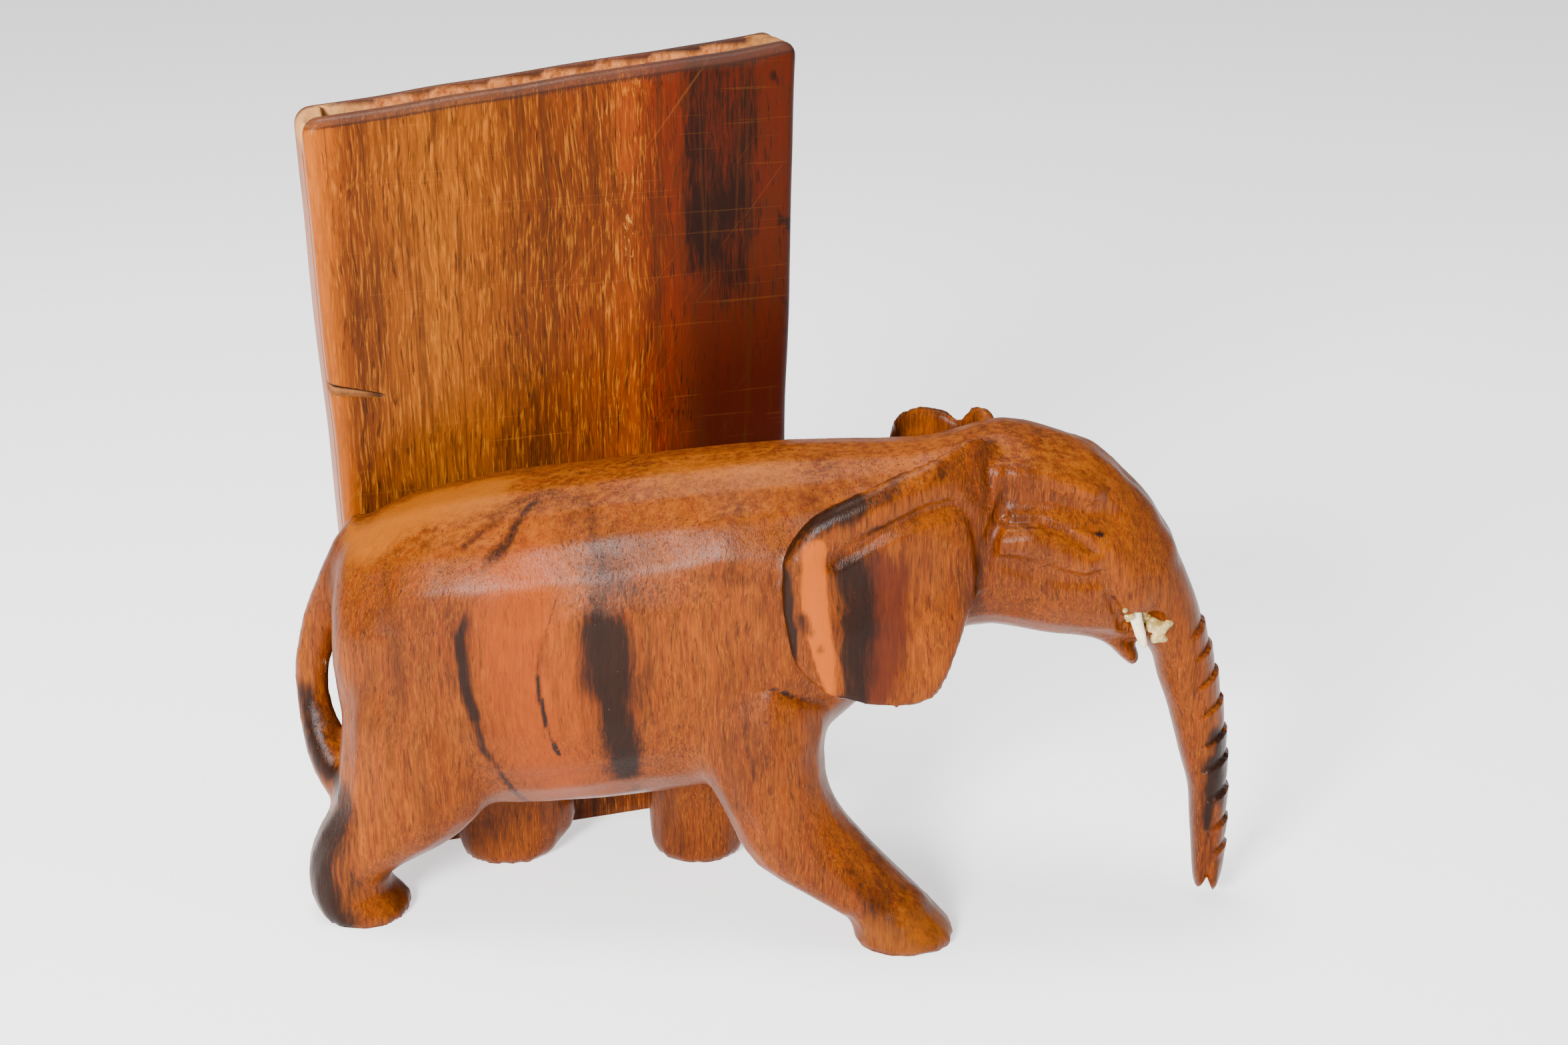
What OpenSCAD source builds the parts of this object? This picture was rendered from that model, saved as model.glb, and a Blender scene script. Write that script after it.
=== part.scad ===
// A carved wooden elephant that strides past a two-leaf board with a slot in its top.
// The elephant is drawn in its own frame, with its nose at +X and its soles at z = 0, and is then
// turned to stand against the board. The board's faces lie along X. All sizes are in millimetres.

/* [Elephant] */
// Length from the back of the tail to the front of the trunk
elephant_length = 207; // [172:1:249]
// Height from the soles to the crown of the head
elephant_height = 112; // [93:1:135]
// Width across the belly
belly_width = 50; // [42:1:60]
// Angle between the elephant and the board
elephant_turn = 22; // [18:1:26]
// Depth of the flat on the far hip that lies against the board
hip_flat_depth = 8.6; // [7:0.2:10.4]
// Distance from the board's left edge to the middle of that flat
hip_from_left = 25; // [20:1:32]
// Width of a foot, across the body
foot_width = 20; // [17:0.5:24]
// Thickness of an ear at its middle
ear_thickness = 5; // [4:0.5:6]
// Distance that the far ear stands out from the neck
far_ear_spread = 14; // [8:1:18]
// Width of the tail, across the body
tail_width = 7; // [6:0.5:9]

/* [Tusks] */
// Diameter of a tusk
tusk_d = 3.9; // [3.2:0.1:4.8]
// Length of the stub that shows
tusk_stub = 5.5; // [4:0.5:8]
// Depth of a tusk's socket
tusk_socket = 8; // [6:0.5:10]
// Width of the bead of glue round a tusk
glue_d = 8; // [6.5:0.5:9.5]
// Thickness of the bead of glue
glue_t = 2.6; // [2:0.1:3.2]

/* [Board] */
// Width of the board at its foot
board_foot_width = 98; // [82:1:118]
// Width of the board at its top
board_top_width = 108; // [92:1:130]
// Height of the board's left corner
board_left_height = 171; // [143:1:205]
// Height of the board's right corner
board_right_height = 182; // [152:1:218]
// Thickness of the front leaf
front_leaf_t = 4.6; // [3.8:0.1:6]
// Thickness of the back leaf
back_leaf_t = 14.4; // [13:0.1:18]
// Radius of the rounded long edges
edge_r = 2.2; // [1.6:0.1:3]
// Radius of the top corners
corner_r = 3.6; // [3.2:0.2:6]

/* [Slot] */
// Width of the slot, which is hollowed out of the back leaf
slot_width = 10.2; // [8:0.1:11]
// Depth of the slot below the top edge
slot_depth = 80; // [66:1:95]
// Width of the wall that is left at each end of the slot
slot_end_wall = 5.5; // [4.5:0.5:9]
// Radius of the slot's lower corners
slot_corner_r = 6; // [4:0.5:8]

/* [Dowels] */
// Diameter of the dowels that hold the elephant to the board
dowel_d = 6; // [5:0.5:8]
// Height of the middle of the dowel pair
dowel_z = 58; // [50:1:66]
// Distance between the dowels, from centre to centre
dowel_spacing = 26; // [20:1:32]
// Depth of a dowel in the elephant
dowel_in_elephant = 14; // [10:0.5:18]
// Depth of a dowel in the back leaf
dowel_in_leaf = 8; // [6:0.5:10]

/* [Hidden] */

// The drawing's own length, height and belly width, which the driving sizes stretch.
drawn = [207, 50, 112];
stretch = [elephant_length / drawn.x, belly_width / drawn.y, elephant_height / drawn.z];
// Facets on a small round and on a rod, and the distance by which a cut runs past an open face.
round_fn = 32;
rod_fn = 48;
over = 1;

// ---- Skins: a skin is drawn from stations. A station is one cross-section, given as the two ends
// of its long axis, its half-width across the body and its squareness (2 is an ellipse):
// [x, y, z of one end, x, y, z of the other end, half-width, squareness]

// Smooth curve through the stations, at parameter t.
function along(s, t) =
    let (n = len(s) - 1, i = min(floor(t), n - 1), f = t - i)
    let (a = s[max(i - 1, 0)], b = s[i], c = s[i + 1], d = s[min(i + 2, n)])
    0.5 * (2 * b + (c - a) * f + (2 * a - 5 * b + 4 * c - d) * f * f
           + (3 * b - a - 3 * c + d) * f * f * f);

function power(v, e) = sign(v) * pow(abs(v), e);
function stretched(p) = [p.x * stretch.x, p.y * stretch.y, p.z * stretch.z];

function first_end(s) = [s[0], s[1], s[2]];
function second_end(s) = [s[3], s[4], s[5]];
function centre(s) = (first_end(s) + second_end(s)) / 2;

// The points of one cross-section, stretched to the driving sizes.
function ring(s, sides) =
    let (half = (first_end(s) - second_end(s)) / 2, e = 2 / s[7])
    [for (k = [0 : sides - 1])
        let (a = 360 * k / sides)
        stretched(centre(s) + half * power(cos(a), e) + [0, s[6], 0] * power(sin(a), e))];

function rings(stations, steps, sides) =
    [for (i = [0 : (len(stations) - 1) * steps]) ring(along(stations, i / steps), sides)];

// Closed solid through the rings. The faces turn round with the direction of the stations.
module skin(stations, sides) {
    r = rings(stations, ring_steps, sides);
    n = len(r);
    half = first_end(stations[1]) - second_end(stations[1]);
    travel = centre(stations[2]) - centre(stations[0]);
    outward = cross(half, [0, 1, 0]) * travel > 0;
    sidewalls = [for (i = [0 : n - 2], k = [0 : sides - 1])
        let (a = i * sides + k, b = i * sides + (k + 1) % sides)
        each [[a, b + sides, b], [a, a + sides, b + sides]]];
    caps = [[for (k = [0 : sides - 1]) k],
            [for (k = [sides - 1 : -1 : 0]) (n - 1) * sides + k]];
    faces = concat(sidewalls, caps);
    turned = [for (f = faces) [for (k = [len(f) - 1 : -1 : 0]) f[k]]];
    polyhedron([for (ring = r) each ring], outward ? faces : turned);
}

// Stations that lie in the elephant's middle plane.
function middle(list) = [for (s = list) [s[0], 0, s[1], s[2], 0, s[3], s[4], s[5]]];
// Stations of a leg or the tail, which sit to one side: [x, z, x, z, y, half-width, squareness].
function beside(list) = [for (s = list) [s[0], s[4], s[1], s[2], s[4], s[3], s[5], s[6]]];

// Half-widths that have sizes of their own, so the belly's width doesn't stretch them.
foot = foot_width / 2 / stretch.y;
tail = tail_width / 2 / stretch.y;
ear_t = ear_thickness / 2 / stretch.y;
ear_out = far_ear_spread / stretch.y;

// Body, head and trunk: top x, z, bottom x, z, half-width, squareness
body_line = middle([
    [-91.8, 68, -91.8, 50, 5, 2],
    [-91.5, 78, -91.2, 38, 13, 2.1],
    [-88, 85, -88, 31, 18, 2.2],
    [-80, 90, -80, 25.5, 21.5, 2.3],
    [-68, 94, -68, 22.5, 24, 2.3],
    [-54, 97, -54, 22, 25, 2.3],
    [-38, 99.5, -38, 23.5, 25, 2.3],
    [-22, 102, -22, 26, 24.5, 2.3],
    [-6, 104, -6, 30, 24, 2.3],
    [9, 105.5, 9, 38, 23, 2.2],
    [22, 106, 22, 50, 21, 2.2],
    [32, 106.5, 34, 60, 18.5, 2.2],
    [41, 109, 44, 66, 16, 2.2],
    [50, 111.5, 54, 66.5, 16, 2.3],
    [60, 109.5, 62, 65.5, 16.5, 2.3],
    [69, 106, 69.5, 65, 15.5, 2.3],
    [77.5, 98.5, 76, 64.5, 13.5, 2.2],
    [85.5, 87.5, 80.5, 63.5, 10.5, 2.2],
    [91.5, 75, 83, 61, 8.5, 2.1],
    [95.3, 65, 84.2, 57.5, 7.5, 2],
    [98, 56, 85.5, 53, 7, 2],
    [100, 47, 87.8, 47, 6.6, 2],
    [101.4, 37, 90.3, 38.5, 6.2, 2],
    [102.2, 27, 92.8, 29, 5.6, 2],
    [102.5, 18, 94.3, 20, 5, 2],
    [102.4, 10, 95.2, 12, 4.6, 2],
    [101.6, 5, 95.8, 6, 4.2, 2],
    [100.8, 2.5, 96.6, 3, 2.8, 2]]);

// Lower jaw, down to the pointed lip
jaw_line = middle([
    [50, 80, 50, 66.5, 10, 2],
    [62, 76, 61, 65.5, 10.5, 2],
    [70, 72, 69, 65, 9.5, 2],
    [75, 68, 73, 63, 7, 2],
    [78.5, 64, 76, 60, 5, 2],
    [80.5, 60.5, 78.6, 57.5, 3, 2],
    [81, 58.3, 80, 56.8, 1.2, 2]]);

tail_line = beside([
    [-88, 88, -83, 80, 0, 6, 2],
    [-93, 82, -87, 75, 0, 5, 2],
    [-97.5, 72, -90.5, 67, 0, tail + 0.5, 2],
    [-101, 64, -93, 60.5, 0, tail, 2],
    [-103.3, 54, -95.5, 53, -1, tail, 2],
    [-103.5, 45, -96, 46, -2, tail, 2],
    [-102, 37, -94, 40, -4, tail + 0.5, 2],
    [-99.7, 30.5, -91, 35.5, -6, tail + 1.5, 2],
    [-96, 24.5, -88, 30, -8, tail + 2, 2],
    [-91.5, 20.5, -85, 25, -10, 4, 2]]);

near_hind_leg = beside([
    [-58, 64, -88, 64, -10, foot + 1, 2],
    [-57, 48, -90.5, 48, -12, foot + 2.5, 2.2],
    [-57, 36, -91.5, 36, -13.5, foot + 2.5, 2.2],
    [-59.5, 26, -93, 27, -14.5, foot + 1.5, 2.2],
    [-67.5, 18.5, -97, 20, -15, foot + 0.5, 2.1],
    [-77, 13, -99.5, 13, -15, foot - 0.5, 2.1],
    [-82.5, 8, -100, 8, -15, foot - 1, 2.1],
    [-80, 4, -99.4, 4, -15, foot - 0.4, 2.2],
    [-77.6, 1.5, -98.4, 1.5, -15, foot, 2.2],
    [-78, 0, -97.6, 0, -15, foot - 0.3, 2.2]]);

near_front_leg = beside([
    [14, 70, -18, 66, -10, foot + 1, 2],
    [15.5, 54, -16, 46, -13, foot + 2.5, 2.2],
    [14, 42, -11.5, 34, -14.5, foot + 2, 2.2],
    [15.5, 33, -6, 25, -16, foot + 1, 2.1],
    [20, 25.5, -1, 16.5, -17, foot, 2.1],
    [28, 17, 9.5, 10.5, -18, foot - 0.5, 2.1],
    [35, 10, 17.5, 6.5, -18.5, foot - 0.5, 2.1],
    [40.8, 4, 20.5, 3, -19, foot - 0.2, 2.2],
    [42.8, 1.2, 20.3, 1.2, -19, foot, 2.2],
    [42, 0, 21, 0, -19, foot - 0.3, 2.2]]);

far_hind_leg = beside([
    [-48, 60, -84, 60, 10, foot + 1, 2],
    [-47.5, 42, -80, 42, 12, foot + 2, 2.2],
    [-47, 25, -76, 25, 13.5, foot + 1.5, 2.2],
    [-47, 12, -74, 12, 14.5, foot + 1, 2.2],
    [-47.5, 5, -73, 5, 14.5, foot + 0.6, 2.2],
    [-49, 1.2, -72, 1.2, 14.5, foot + 0.2, 2.2],
    [-51, 0, -71, 0, 14.5, foot - 0.5, 2.2]]);

far_front_leg = beside([
    [10, 62, -22, 62, 11, foot + 1, 2],
    [3, 42, -25, 42, 14, foot + 1.5, 2.2],
    [-3, 26, -27.5, 26, 16, foot + 1, 2.2],
    [-5, 12, -28.4, 12, 17.5, foot + 0.6, 2.2],
    [-5.2, 5, -28.4, 5, 18, foot + 0.4, 2.2],
    [-6, 1.2, -27.6, 1.2, 18, foot + 0.2, 2.2],
    [-7.5, 0, -26.5, 0, 18, foot - 0.5, 2.2]]);

// Near ear: top x, y, z, bottom x, y, z, half-thickness, squareness. It lies along the shoulder.
near_ear_line = [
    [6.3, -24, 86, 6.3, -24.5, 77, ear_t - 1, 2],
    [8.2, -24, 93, 8.2, -25, 69, ear_t, 2.5],
    [12.5, -23.5, 98, 12.5, -25.5, 62.5, ear_t + 0.8, 3],
    [18.5, -22.5, 101.5, 18.5, -25.5, 58.8, ear_t + 0.8, 3],
    [25, -21, 104.5, 25, -25.5, 57.3, ear_t + 0.5, 3],
    [31.5, -19, 107.3, 32, -25, 57, ear_t, 3],
    [37, -16.5, 109.8, 37.5, -24, 59.5, ear_t, 3],
    [41, -14, 111.5, 41.5, -22, 68, ear_t, 2.5],
    [44, -12, 112, 44.5, -18, 77, ear_t, 2.5],
    [48, -9, 110, 48, -13, 82, ear_t, 2]];

// Far ear: it stands away from the neck.
far_ear_line = [
    [25.3, 12 + ear_out, 95, 25.3, 13 + ear_out, 80, ear_t - 1, 2],
    [27, 12 + ear_out, 102.5, 27, 13 + ear_out, 70, ear_t - 0.4, 2.5],
    [30.5, 11 + ear_out * 0.8, 106.5, 30.5, 13 + ear_out * 0.85, 63, ear_t, 3],
    [34, 11 + ear_out * 0.6, 108, 34, 13 + ear_out * 0.7, 59.5, ear_t, 3],
    [38, 11 + ear_out * 0.4, 108, 38, 14 + ear_out * 0.5, 60, ear_t, 3],
    [42, 12 + ear_out * 0.2, 107.5, 42.5, 16, 67, ear_t, 2.5],
    [45.5, 12, 110, 46, 14, 76, ear_t, 2.5],
    [49, 9, 109.5, 49, 11, 82, ear_t, 2]];

// ---- The board's frame: x runs along the board, y is the depth behind its front face.

// Middle of the flat on the far hip, where the elephant's flank meets the front face.
hip = stretched([-72, 0, 0]) + [0, belly_width / 2 - hip_flat_depth, 0];

// Turns and moves the elephant's frame so that the front face is y = 0 and the hip is at x = 0.
function turned_point(p) =
    let (q = p - hip, c = cos(elephant_turn), s = sin(elephant_turn))
    [q.x * c + q.y * s, -q.x * s + q.y * c, p.z];

module beside_board() {
    rotate([0, 0, -elephant_turn]) translate([-hip.x, -hip.y, 0]) children();
}

// The board is wider at its top, so its foot is set in on both sides.
board_left = -hip_from_left;
foot_inset = (board_top_width - board_foot_width) / 2;
leaf_t = front_leaf_t + back_leaf_t;

// The body has more sides than the other skins, because it is the roundest.
skins = [body_line, jaw_line, tail_line, near_hind_leg, near_front_leg, far_hind_leg,
         far_front_leg, near_ear_line, far_ear_line];
ring_steps = 2;
function sides_of(s) = s == 0 ? 24 : 14;

// Everything is moved so that the origin is the middle of the foot of the object's box.
skin_points = [for (s = [0 : len(skins) - 1]) for (r = rings(skins[s], ring_steps, sides_of(s)))
    for (p = r) turned_point(p)];
low_x = min([for (p = skin_points) p.x]);
high_x = max(concat([for (p = skin_points) p.x], [board_left + board_top_width]));
low_y = min([for (p = skin_points) p.y]);
middle_of_foot = [(low_x + high_x) / 2, (low_y + leaf_t) / 2, 0];

module placed() {
    translate(-middle_of_foot) children();
}

// ---- Board

// Height of the board's top edge at x from the board's left top corner.
function top_z(x) = board_left_height
    + (board_right_height - board_left_height) * x / board_top_width;

// Distance by which the board's sides are set in at height z.
function inset(z) = foot_inset * (1 - z / board_left_height);

// One top corner of a leaf, rounded in the leaf's plane and again along its outer edge.
module leaf_corner(t, r) {
    rotate([-90, 0, 0]) {
        cylinder(r = corner_r, h = t - r, $fn = round_fn);
        translate([0, 0, t - r]) rotate_extrude($fn = round_fn)
            intersection() {
                translate([corner_r - r, 0]) circle(r, $fn = round_fn);
                square([corner_r, r]);
            }
    }
}

// One leaf as a slab from y = 0 to y = t, whose outer long edges are rounded.
module leaf(t, r) {
    left_z = top_z(corner_r) - corner_r;
    right_z = top_z(board_top_width - corner_r) - corner_r;
    hull() {
        translate([board_left + inset(left_z) + corner_r, 0, left_z]) leaf_corner(t, r);
        translate([board_left + board_top_width - inset(right_z) - corner_r, 0, right_z])
            leaf_corner(t, r);
        for (c = [foot_inset + r, board_top_width - foot_inset - r])
            translate([board_left + c, 0, 0]) {
                translate([-r, 0, 0]) cube([2 * r, t - r, over]);
                translate([0, t - r, 0]) cylinder(r = r, h = over, $fn = round_fn);
            }
    }
}

// The slot and the dowels are laid out from the same faces as the leaves.
module slot_hollow() {
    low = (board_left_height + board_right_height) / 2 - slot_depth;
    foot_x = slot_end_wall + inset(low);
    translate([board_left, front_leaf_t, 0]) rotate([90, 0, 0])
        translate([0, 0, -slot_width]) linear_extrude(slot_width + over)
            union() {
                polygon([[foot_x, low + slot_corner_r],
                         [board_top_width - foot_x, low + slot_corner_r],
                         [board_top_width - slot_end_wall, board_right_height + over],
                         [slot_end_wall, board_right_height + over]]);
                for (x = [foot_x + slot_corner_r, board_top_width - foot_x - slot_corner_r])
                    translate([x, low + slot_corner_r]) circle(slot_corner_r, $fn = round_fn);
                translate([foot_x + slot_corner_r, low])
                    square([board_top_width - 2 * (foot_x + slot_corner_r), slot_corner_r + over]);
            }
}

module hip_dowels_solid() {
    for (side = [-1, 1])
        translate([0, -dowel_in_elephant, dowel_z + side * dowel_spacing / 2])
            rotate([-90, 0, 0])
                cylinder(d = dowel_d, h = dowel_in_elephant + front_leaf_t + dowel_in_leaf,
                         $fn = rod_fn);
}

// ---- Tusks: a stub in a socket beside the trunk, with a bead of hardened glue round its root.

// Root of a tusk on the cheek, and how far the tusk leans forward and out from straight down.
tusk_root = [79, 9.8, 70.6];
lean_forward = 18;
lean_out = 10;
// Angle of the broken end.
break_angle = 35;

// Places children at a tusk's root, with +z along the tusk. side is -1 for the near tusk.
module at_tusk(side) {
    beside_board() translate(stretched([tusk_root.x, side * tusk_root.y, tusk_root.z]))
        rotate([-side * (180 - lean_out), -lean_forward, 0]) children();
}

module tusk(side) {
    at_tusk(side) translate([0, 0, -tusk_socket])
        difference() {
            cylinder(d = tusk_d, h = tusk_socket + tusk_stub, $fn = rod_fn);
            translate([0, 0, tusk_socket + tusk_stub]) rotate([0, break_angle, 0])
                translate([0, 0, tusk_d]) cube([4 * tusk_d, 4 * tusk_d, 2 * tusk_d], center = true);
        }
}

module glue_solid(side) {
    at_tusk(side) {
        rotate_extrude($fn = rod_fn) {
            translate([0, -glue_t / 2]) square([(glue_d - glue_t) / 2, glue_t]);
            translate([(glue_d - glue_t) / 2, 0]) circle(d = glue_t, $fn = round_fn);
        }
        translate([glue_d / 2, 0, glue_t / 4]) sphere(d = 1.6 * glue_t, $fn = rod_fn);
    }
}

module glue_bead(side) {
    difference() {
        glue_solid(side);
        at_tusk(side) translate([0, 0, -glue_d]) cylinder(d = tusk_d, h = 2 * glue_d, $fn = rod_fn);
    }
}

module carving() {
    for (s = [0 : len(skins) - 1]) skin(skins[s], sides_of(s));
}

// Everything on the board's side of its front face.
module behind_face() {
    far = elephant_length + belly_width;
    translate([-far, 0, -far]) cube([2 * far, far, 2 * far]);
}

module elephant() {
    color("chocolate") placed() difference() {
        beside_board() carving();
        behind_face();
        hip_dowels_solid();
        for (side = [-1, 1]) {
            at_tusk(side) translate([0, 0, -tusk_socket])
                cylinder(d = tusk_d, h = 2 * tusk_socket, $fn = rod_fn);
            glue_solid(side);
        }
    }
}

module front_leaf() {
    color("peru") placed() difference() {
        translate([0, front_leaf_t, 0]) mirror([0, 1, 0]) leaf(front_leaf_t, edge_r);
        hip_dowels_solid();
    }
}

module back_leaf() {
    color("sienna") placed() difference() {
        translate([0, front_leaf_t, 0]) leaf(back_leaf_t, edge_r);
        slot_hollow();
        hip_dowels_solid();
    }
}

module near_tusk() {
    color("ivory") placed() tusk(-1);
}

module far_tusk() {
    color("ivory") placed() tusk(1);
}

module near_tusk_glue() {
    color("khaki") placed() glue_bead(-1);
}

module far_tusk_glue() {
    color("khaki") placed() glue_bead(1);
}

module hip_dowels() {
    color("burlywood") placed() hip_dowels_solid();
}

elephant();
front_leaf();
back_leaf();
near_tusk();
far_tusk();
near_tusk_glue();
far_tusk_glue();
hip_dowels();
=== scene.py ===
"""Looks of a carved wooden elephant that strides past a two-leaf board with a slot in its top.

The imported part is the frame. The elephant is carved here from a copy of its solid: the copy is
remeshed, its creases are filled, and gouge strokes cut the folds of the ear, the brow, the eyelid,
the mouth and the ridges of the trunk. The two leaves are built from bevelled blocks, and the slot
is cut with a rough chiselled core. Every finish is a node material in the part's own coordinates.

Lengths are metres in the part's frame. Strokes on the elephant are millimetres in the elephant's
own frame, which has its nose at +x, its soles at z = 0 and its near side at -y.
"""

import logging
import math
from dataclasses import dataclass, field
from enum import Enum
from typing import Any, Sequence

import bmesh
import bpy
import numpy as np
from mathutils import Matrix, Vector, noise
from mathutils.bvhtree import BVHTree


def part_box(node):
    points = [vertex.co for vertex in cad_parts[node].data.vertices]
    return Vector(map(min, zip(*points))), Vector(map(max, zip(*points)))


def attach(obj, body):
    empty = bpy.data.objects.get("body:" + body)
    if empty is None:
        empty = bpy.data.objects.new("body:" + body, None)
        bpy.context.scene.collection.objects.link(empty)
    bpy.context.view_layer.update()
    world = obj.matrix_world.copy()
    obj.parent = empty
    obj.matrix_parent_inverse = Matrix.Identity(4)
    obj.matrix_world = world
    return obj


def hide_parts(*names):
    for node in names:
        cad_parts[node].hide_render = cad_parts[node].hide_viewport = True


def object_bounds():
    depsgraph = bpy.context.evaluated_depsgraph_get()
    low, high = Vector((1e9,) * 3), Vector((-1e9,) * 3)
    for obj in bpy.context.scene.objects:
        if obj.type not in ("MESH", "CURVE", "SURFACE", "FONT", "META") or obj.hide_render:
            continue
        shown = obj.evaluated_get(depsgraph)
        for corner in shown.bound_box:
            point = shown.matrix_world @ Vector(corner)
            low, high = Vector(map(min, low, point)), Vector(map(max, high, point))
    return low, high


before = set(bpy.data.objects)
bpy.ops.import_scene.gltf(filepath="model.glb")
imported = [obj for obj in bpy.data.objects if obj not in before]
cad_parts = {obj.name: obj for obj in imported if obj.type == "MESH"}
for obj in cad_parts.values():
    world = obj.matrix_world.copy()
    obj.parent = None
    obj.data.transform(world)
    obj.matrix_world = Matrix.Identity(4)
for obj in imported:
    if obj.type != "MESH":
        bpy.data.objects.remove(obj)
CAD_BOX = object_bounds()

MM = 0.001
TOUCH = 0.01 * MM
ROOT = "root"
log = logging.getLogger("elephant")

Point = tuple[float, float, float]
Colour = tuple[float, float, float]
Socket = bpy.types.NodeSocket
Material = bpy.types.Material
Mesh = bpy.types.Mesh
Thing = bpy.types.Object
Shape = bmesh.types.BMesh


# ---------------------------------------------------------------- shader maths


class Graph:
    """A material's node tree, with one method that makes every node but the maths."""

    def __init__(self, name: str) -> None:
        """Starts an empty material.

        Args:
            name: The material's name.
        """
        self.material = bpy.data.materials.new(name)
        self.material.use_nodes = True
        self.tree = self.material.node_tree
        self.tree.nodes.clear()

    def make(self, kind: str, settings: dict[str, Any], inputs: dict[Any, Any]) -> bpy.types.Node:
        """Makes one node.

        Args:
            kind: The node's type.
            settings: Attributes that are set first. "stops" fills a colour ramp.
            inputs: Socket name or index to a value, a Num or a socket.

        Returns:
            The new node.
        """
        node = self.tree.nodes.new(kind)
        for key, value in settings.items():
            if key == "stops":
                self._fill_ramp(node.color_ramp, value)
            else:
                setattr(node, key, value)
        for key, value in inputs.items():
            self.feed(node.inputs[key], value)
        return node

    def feed(self, socket: Socket, value: Any) -> None:
        """Links a socket or a Num to a socket, or sets its value."""
        if isinstance(value, Num):
            self.tree.links.new(value.socket, socket)
        elif isinstance(value, Socket):
            self.tree.links.new(value, socket)
        else:
            socket.default_value = value

    @staticmethod
    def _fill_ramp(ramp: bpy.types.ColorRamp, stops: Sequence[tuple[float, Colour]]) -> None:
        """Gives a colour ramp its stops.

        Args:
            ramp: The ramp.
            stops: Place and colour of each stop.
        """
        while len(ramp.elements) > 1:
            ramp.elements.remove(ramp.elements[-1])
        ramp.elements[0].position = stops[0][0]
        ramp.elements[0].color = (*stops[0][1], 1.0)
        for place, colour in stops[1:]:
            ramp.elements.new(place).color = (*colour, 1.0)

    def place(self) -> Socket:
        """The point on the piece, in the part's frame."""
        return self.make("ShaderNodeTexCoord", {}, {}).outputs["Object"]

    def scaled(self, point: Socket, scale: Point) -> Socket:
        """The point times a scale on each axis."""
        node = self.make("ShaderNodeVectorMath", {"operation": "MULTIPLY"}, {0: point, 1: scale})
        return node.outputs[0]

    def turned(self, point: Socket, angle: float, shift: Point) -> Socket:
        """The point moved and then turned about the upright axis.

        Args:
            point: Where on the piece.
            angle: The turn, in radians.
            shift: The move before the turn, in metres.

        Returns:
            The turned point.
        """
        settings = {"rotation_type": "Z_AXIS"}
        inputs = {"Vector": self.moved(point, shift), "Angle": angle}
        return self.make("ShaderNodeVectorRotate", settings, inputs).outputs[0]

    def moved(self, point: Socket, shift: Point) -> Socket:
        """The point moved by shift, in metres."""
        return self.make("ShaderNodeVectorMath", {"operation": "ADD"}, {0: point, 1: shift}).outputs[0]

    def wavy(self, point: Socket, cells: float, reach: float) -> Socket:
        """The point shifted sideways by slow noise, which makes the grain interlock.

        Args:
            point: Where on the piece.
            cells: Waves in a metre.
            reach: Largest shift, in metres.

        Returns:
            The shifted point.
        """
        slow = {"Vector": self.scaled(point, (cells, cells, cells)), "Scale": 1.0, "Detail": 2.0}
        source = self.make("ShaderNodeTexNoise", {"noise_dimensions": "3D"}, slow)
        shifts = {0: source.outputs["Color"], 1: (reach, reach, 0.0), 2: point}
        return self.make("ShaderNodeVectorMath", {"operation": "MULTIPLY_ADD"}, shifts).outputs[0]

    def axes(self, point: Socket) -> tuple["Num", "Num", "Num"]:
        """The point's x, y and z."""
        node = self.make("ShaderNodeSeparateXYZ", {}, {0: point})
        return tuple(Num(self, node.outputs[k]) for k in range(3))

    def noise(self, point: Socket, scale: Point, detail: float = 3.0, rough: float = 0.55) -> "Num":
        """Noise from 0 to 1 that is stretched by the scale on each axis.

        Args:
            point: Where on the piece.
            scale: Cells in a metre along each axis.
            detail: Octaves.
            rough: Strength of the finer octaves.

        Returns:
            The noise.
        """
        node = self.make(
            "ShaderNodeTexNoise",
            {"noise_dimensions": "3D"},
            {"Vector": self.scaled(point, scale), "Scale": 1.0, "Detail": detail, "Roughness": rough},
        )
        return Num(self, node.outputs["Fac"])

    def painted(self, name: str) -> "Num":
        """A mask that was painted on the mesh's points."""
        node = self.make("ShaderNodeAttribute", {"attribute_type": "GEOMETRY", "attribute_name": name}, {})
        return Num(self, node.outputs["Fac"])

    def mix(self, share: Any, low: Any, high: Any) -> Socket:
        """A colour between two colours.

        Args:
            share: 0 gives low and 1 gives high.
            low: A colour or a colour socket.
            high: A colour or a colour socket.

        Returns:
            The colour socket.
        """
        node = self.make(
            "ShaderNodeMix",
            {"data_type": "RGBA", "blend_type": "MIX", "clamp_factor": True},
            {0: share, 6: self.solid(low), 7: self.solid(high)},
        )
        return node.outputs[2]

    @staticmethod
    def solid(colour: Any) -> Any:
        """A plain colour with its alpha, or the socket as it is."""
        return (*colour, 1.0) if isinstance(colour, tuple) and len(colour) == 3 else colour

    def ramp(self, share: "Num", stops: Sequence[tuple[float, Colour]]) -> Socket:
        """A colour from a ramp."""
        return self.make("ShaderNodeValToRGB", {"stops": stops}, {"Fac": share}).outputs["Color"]

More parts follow.
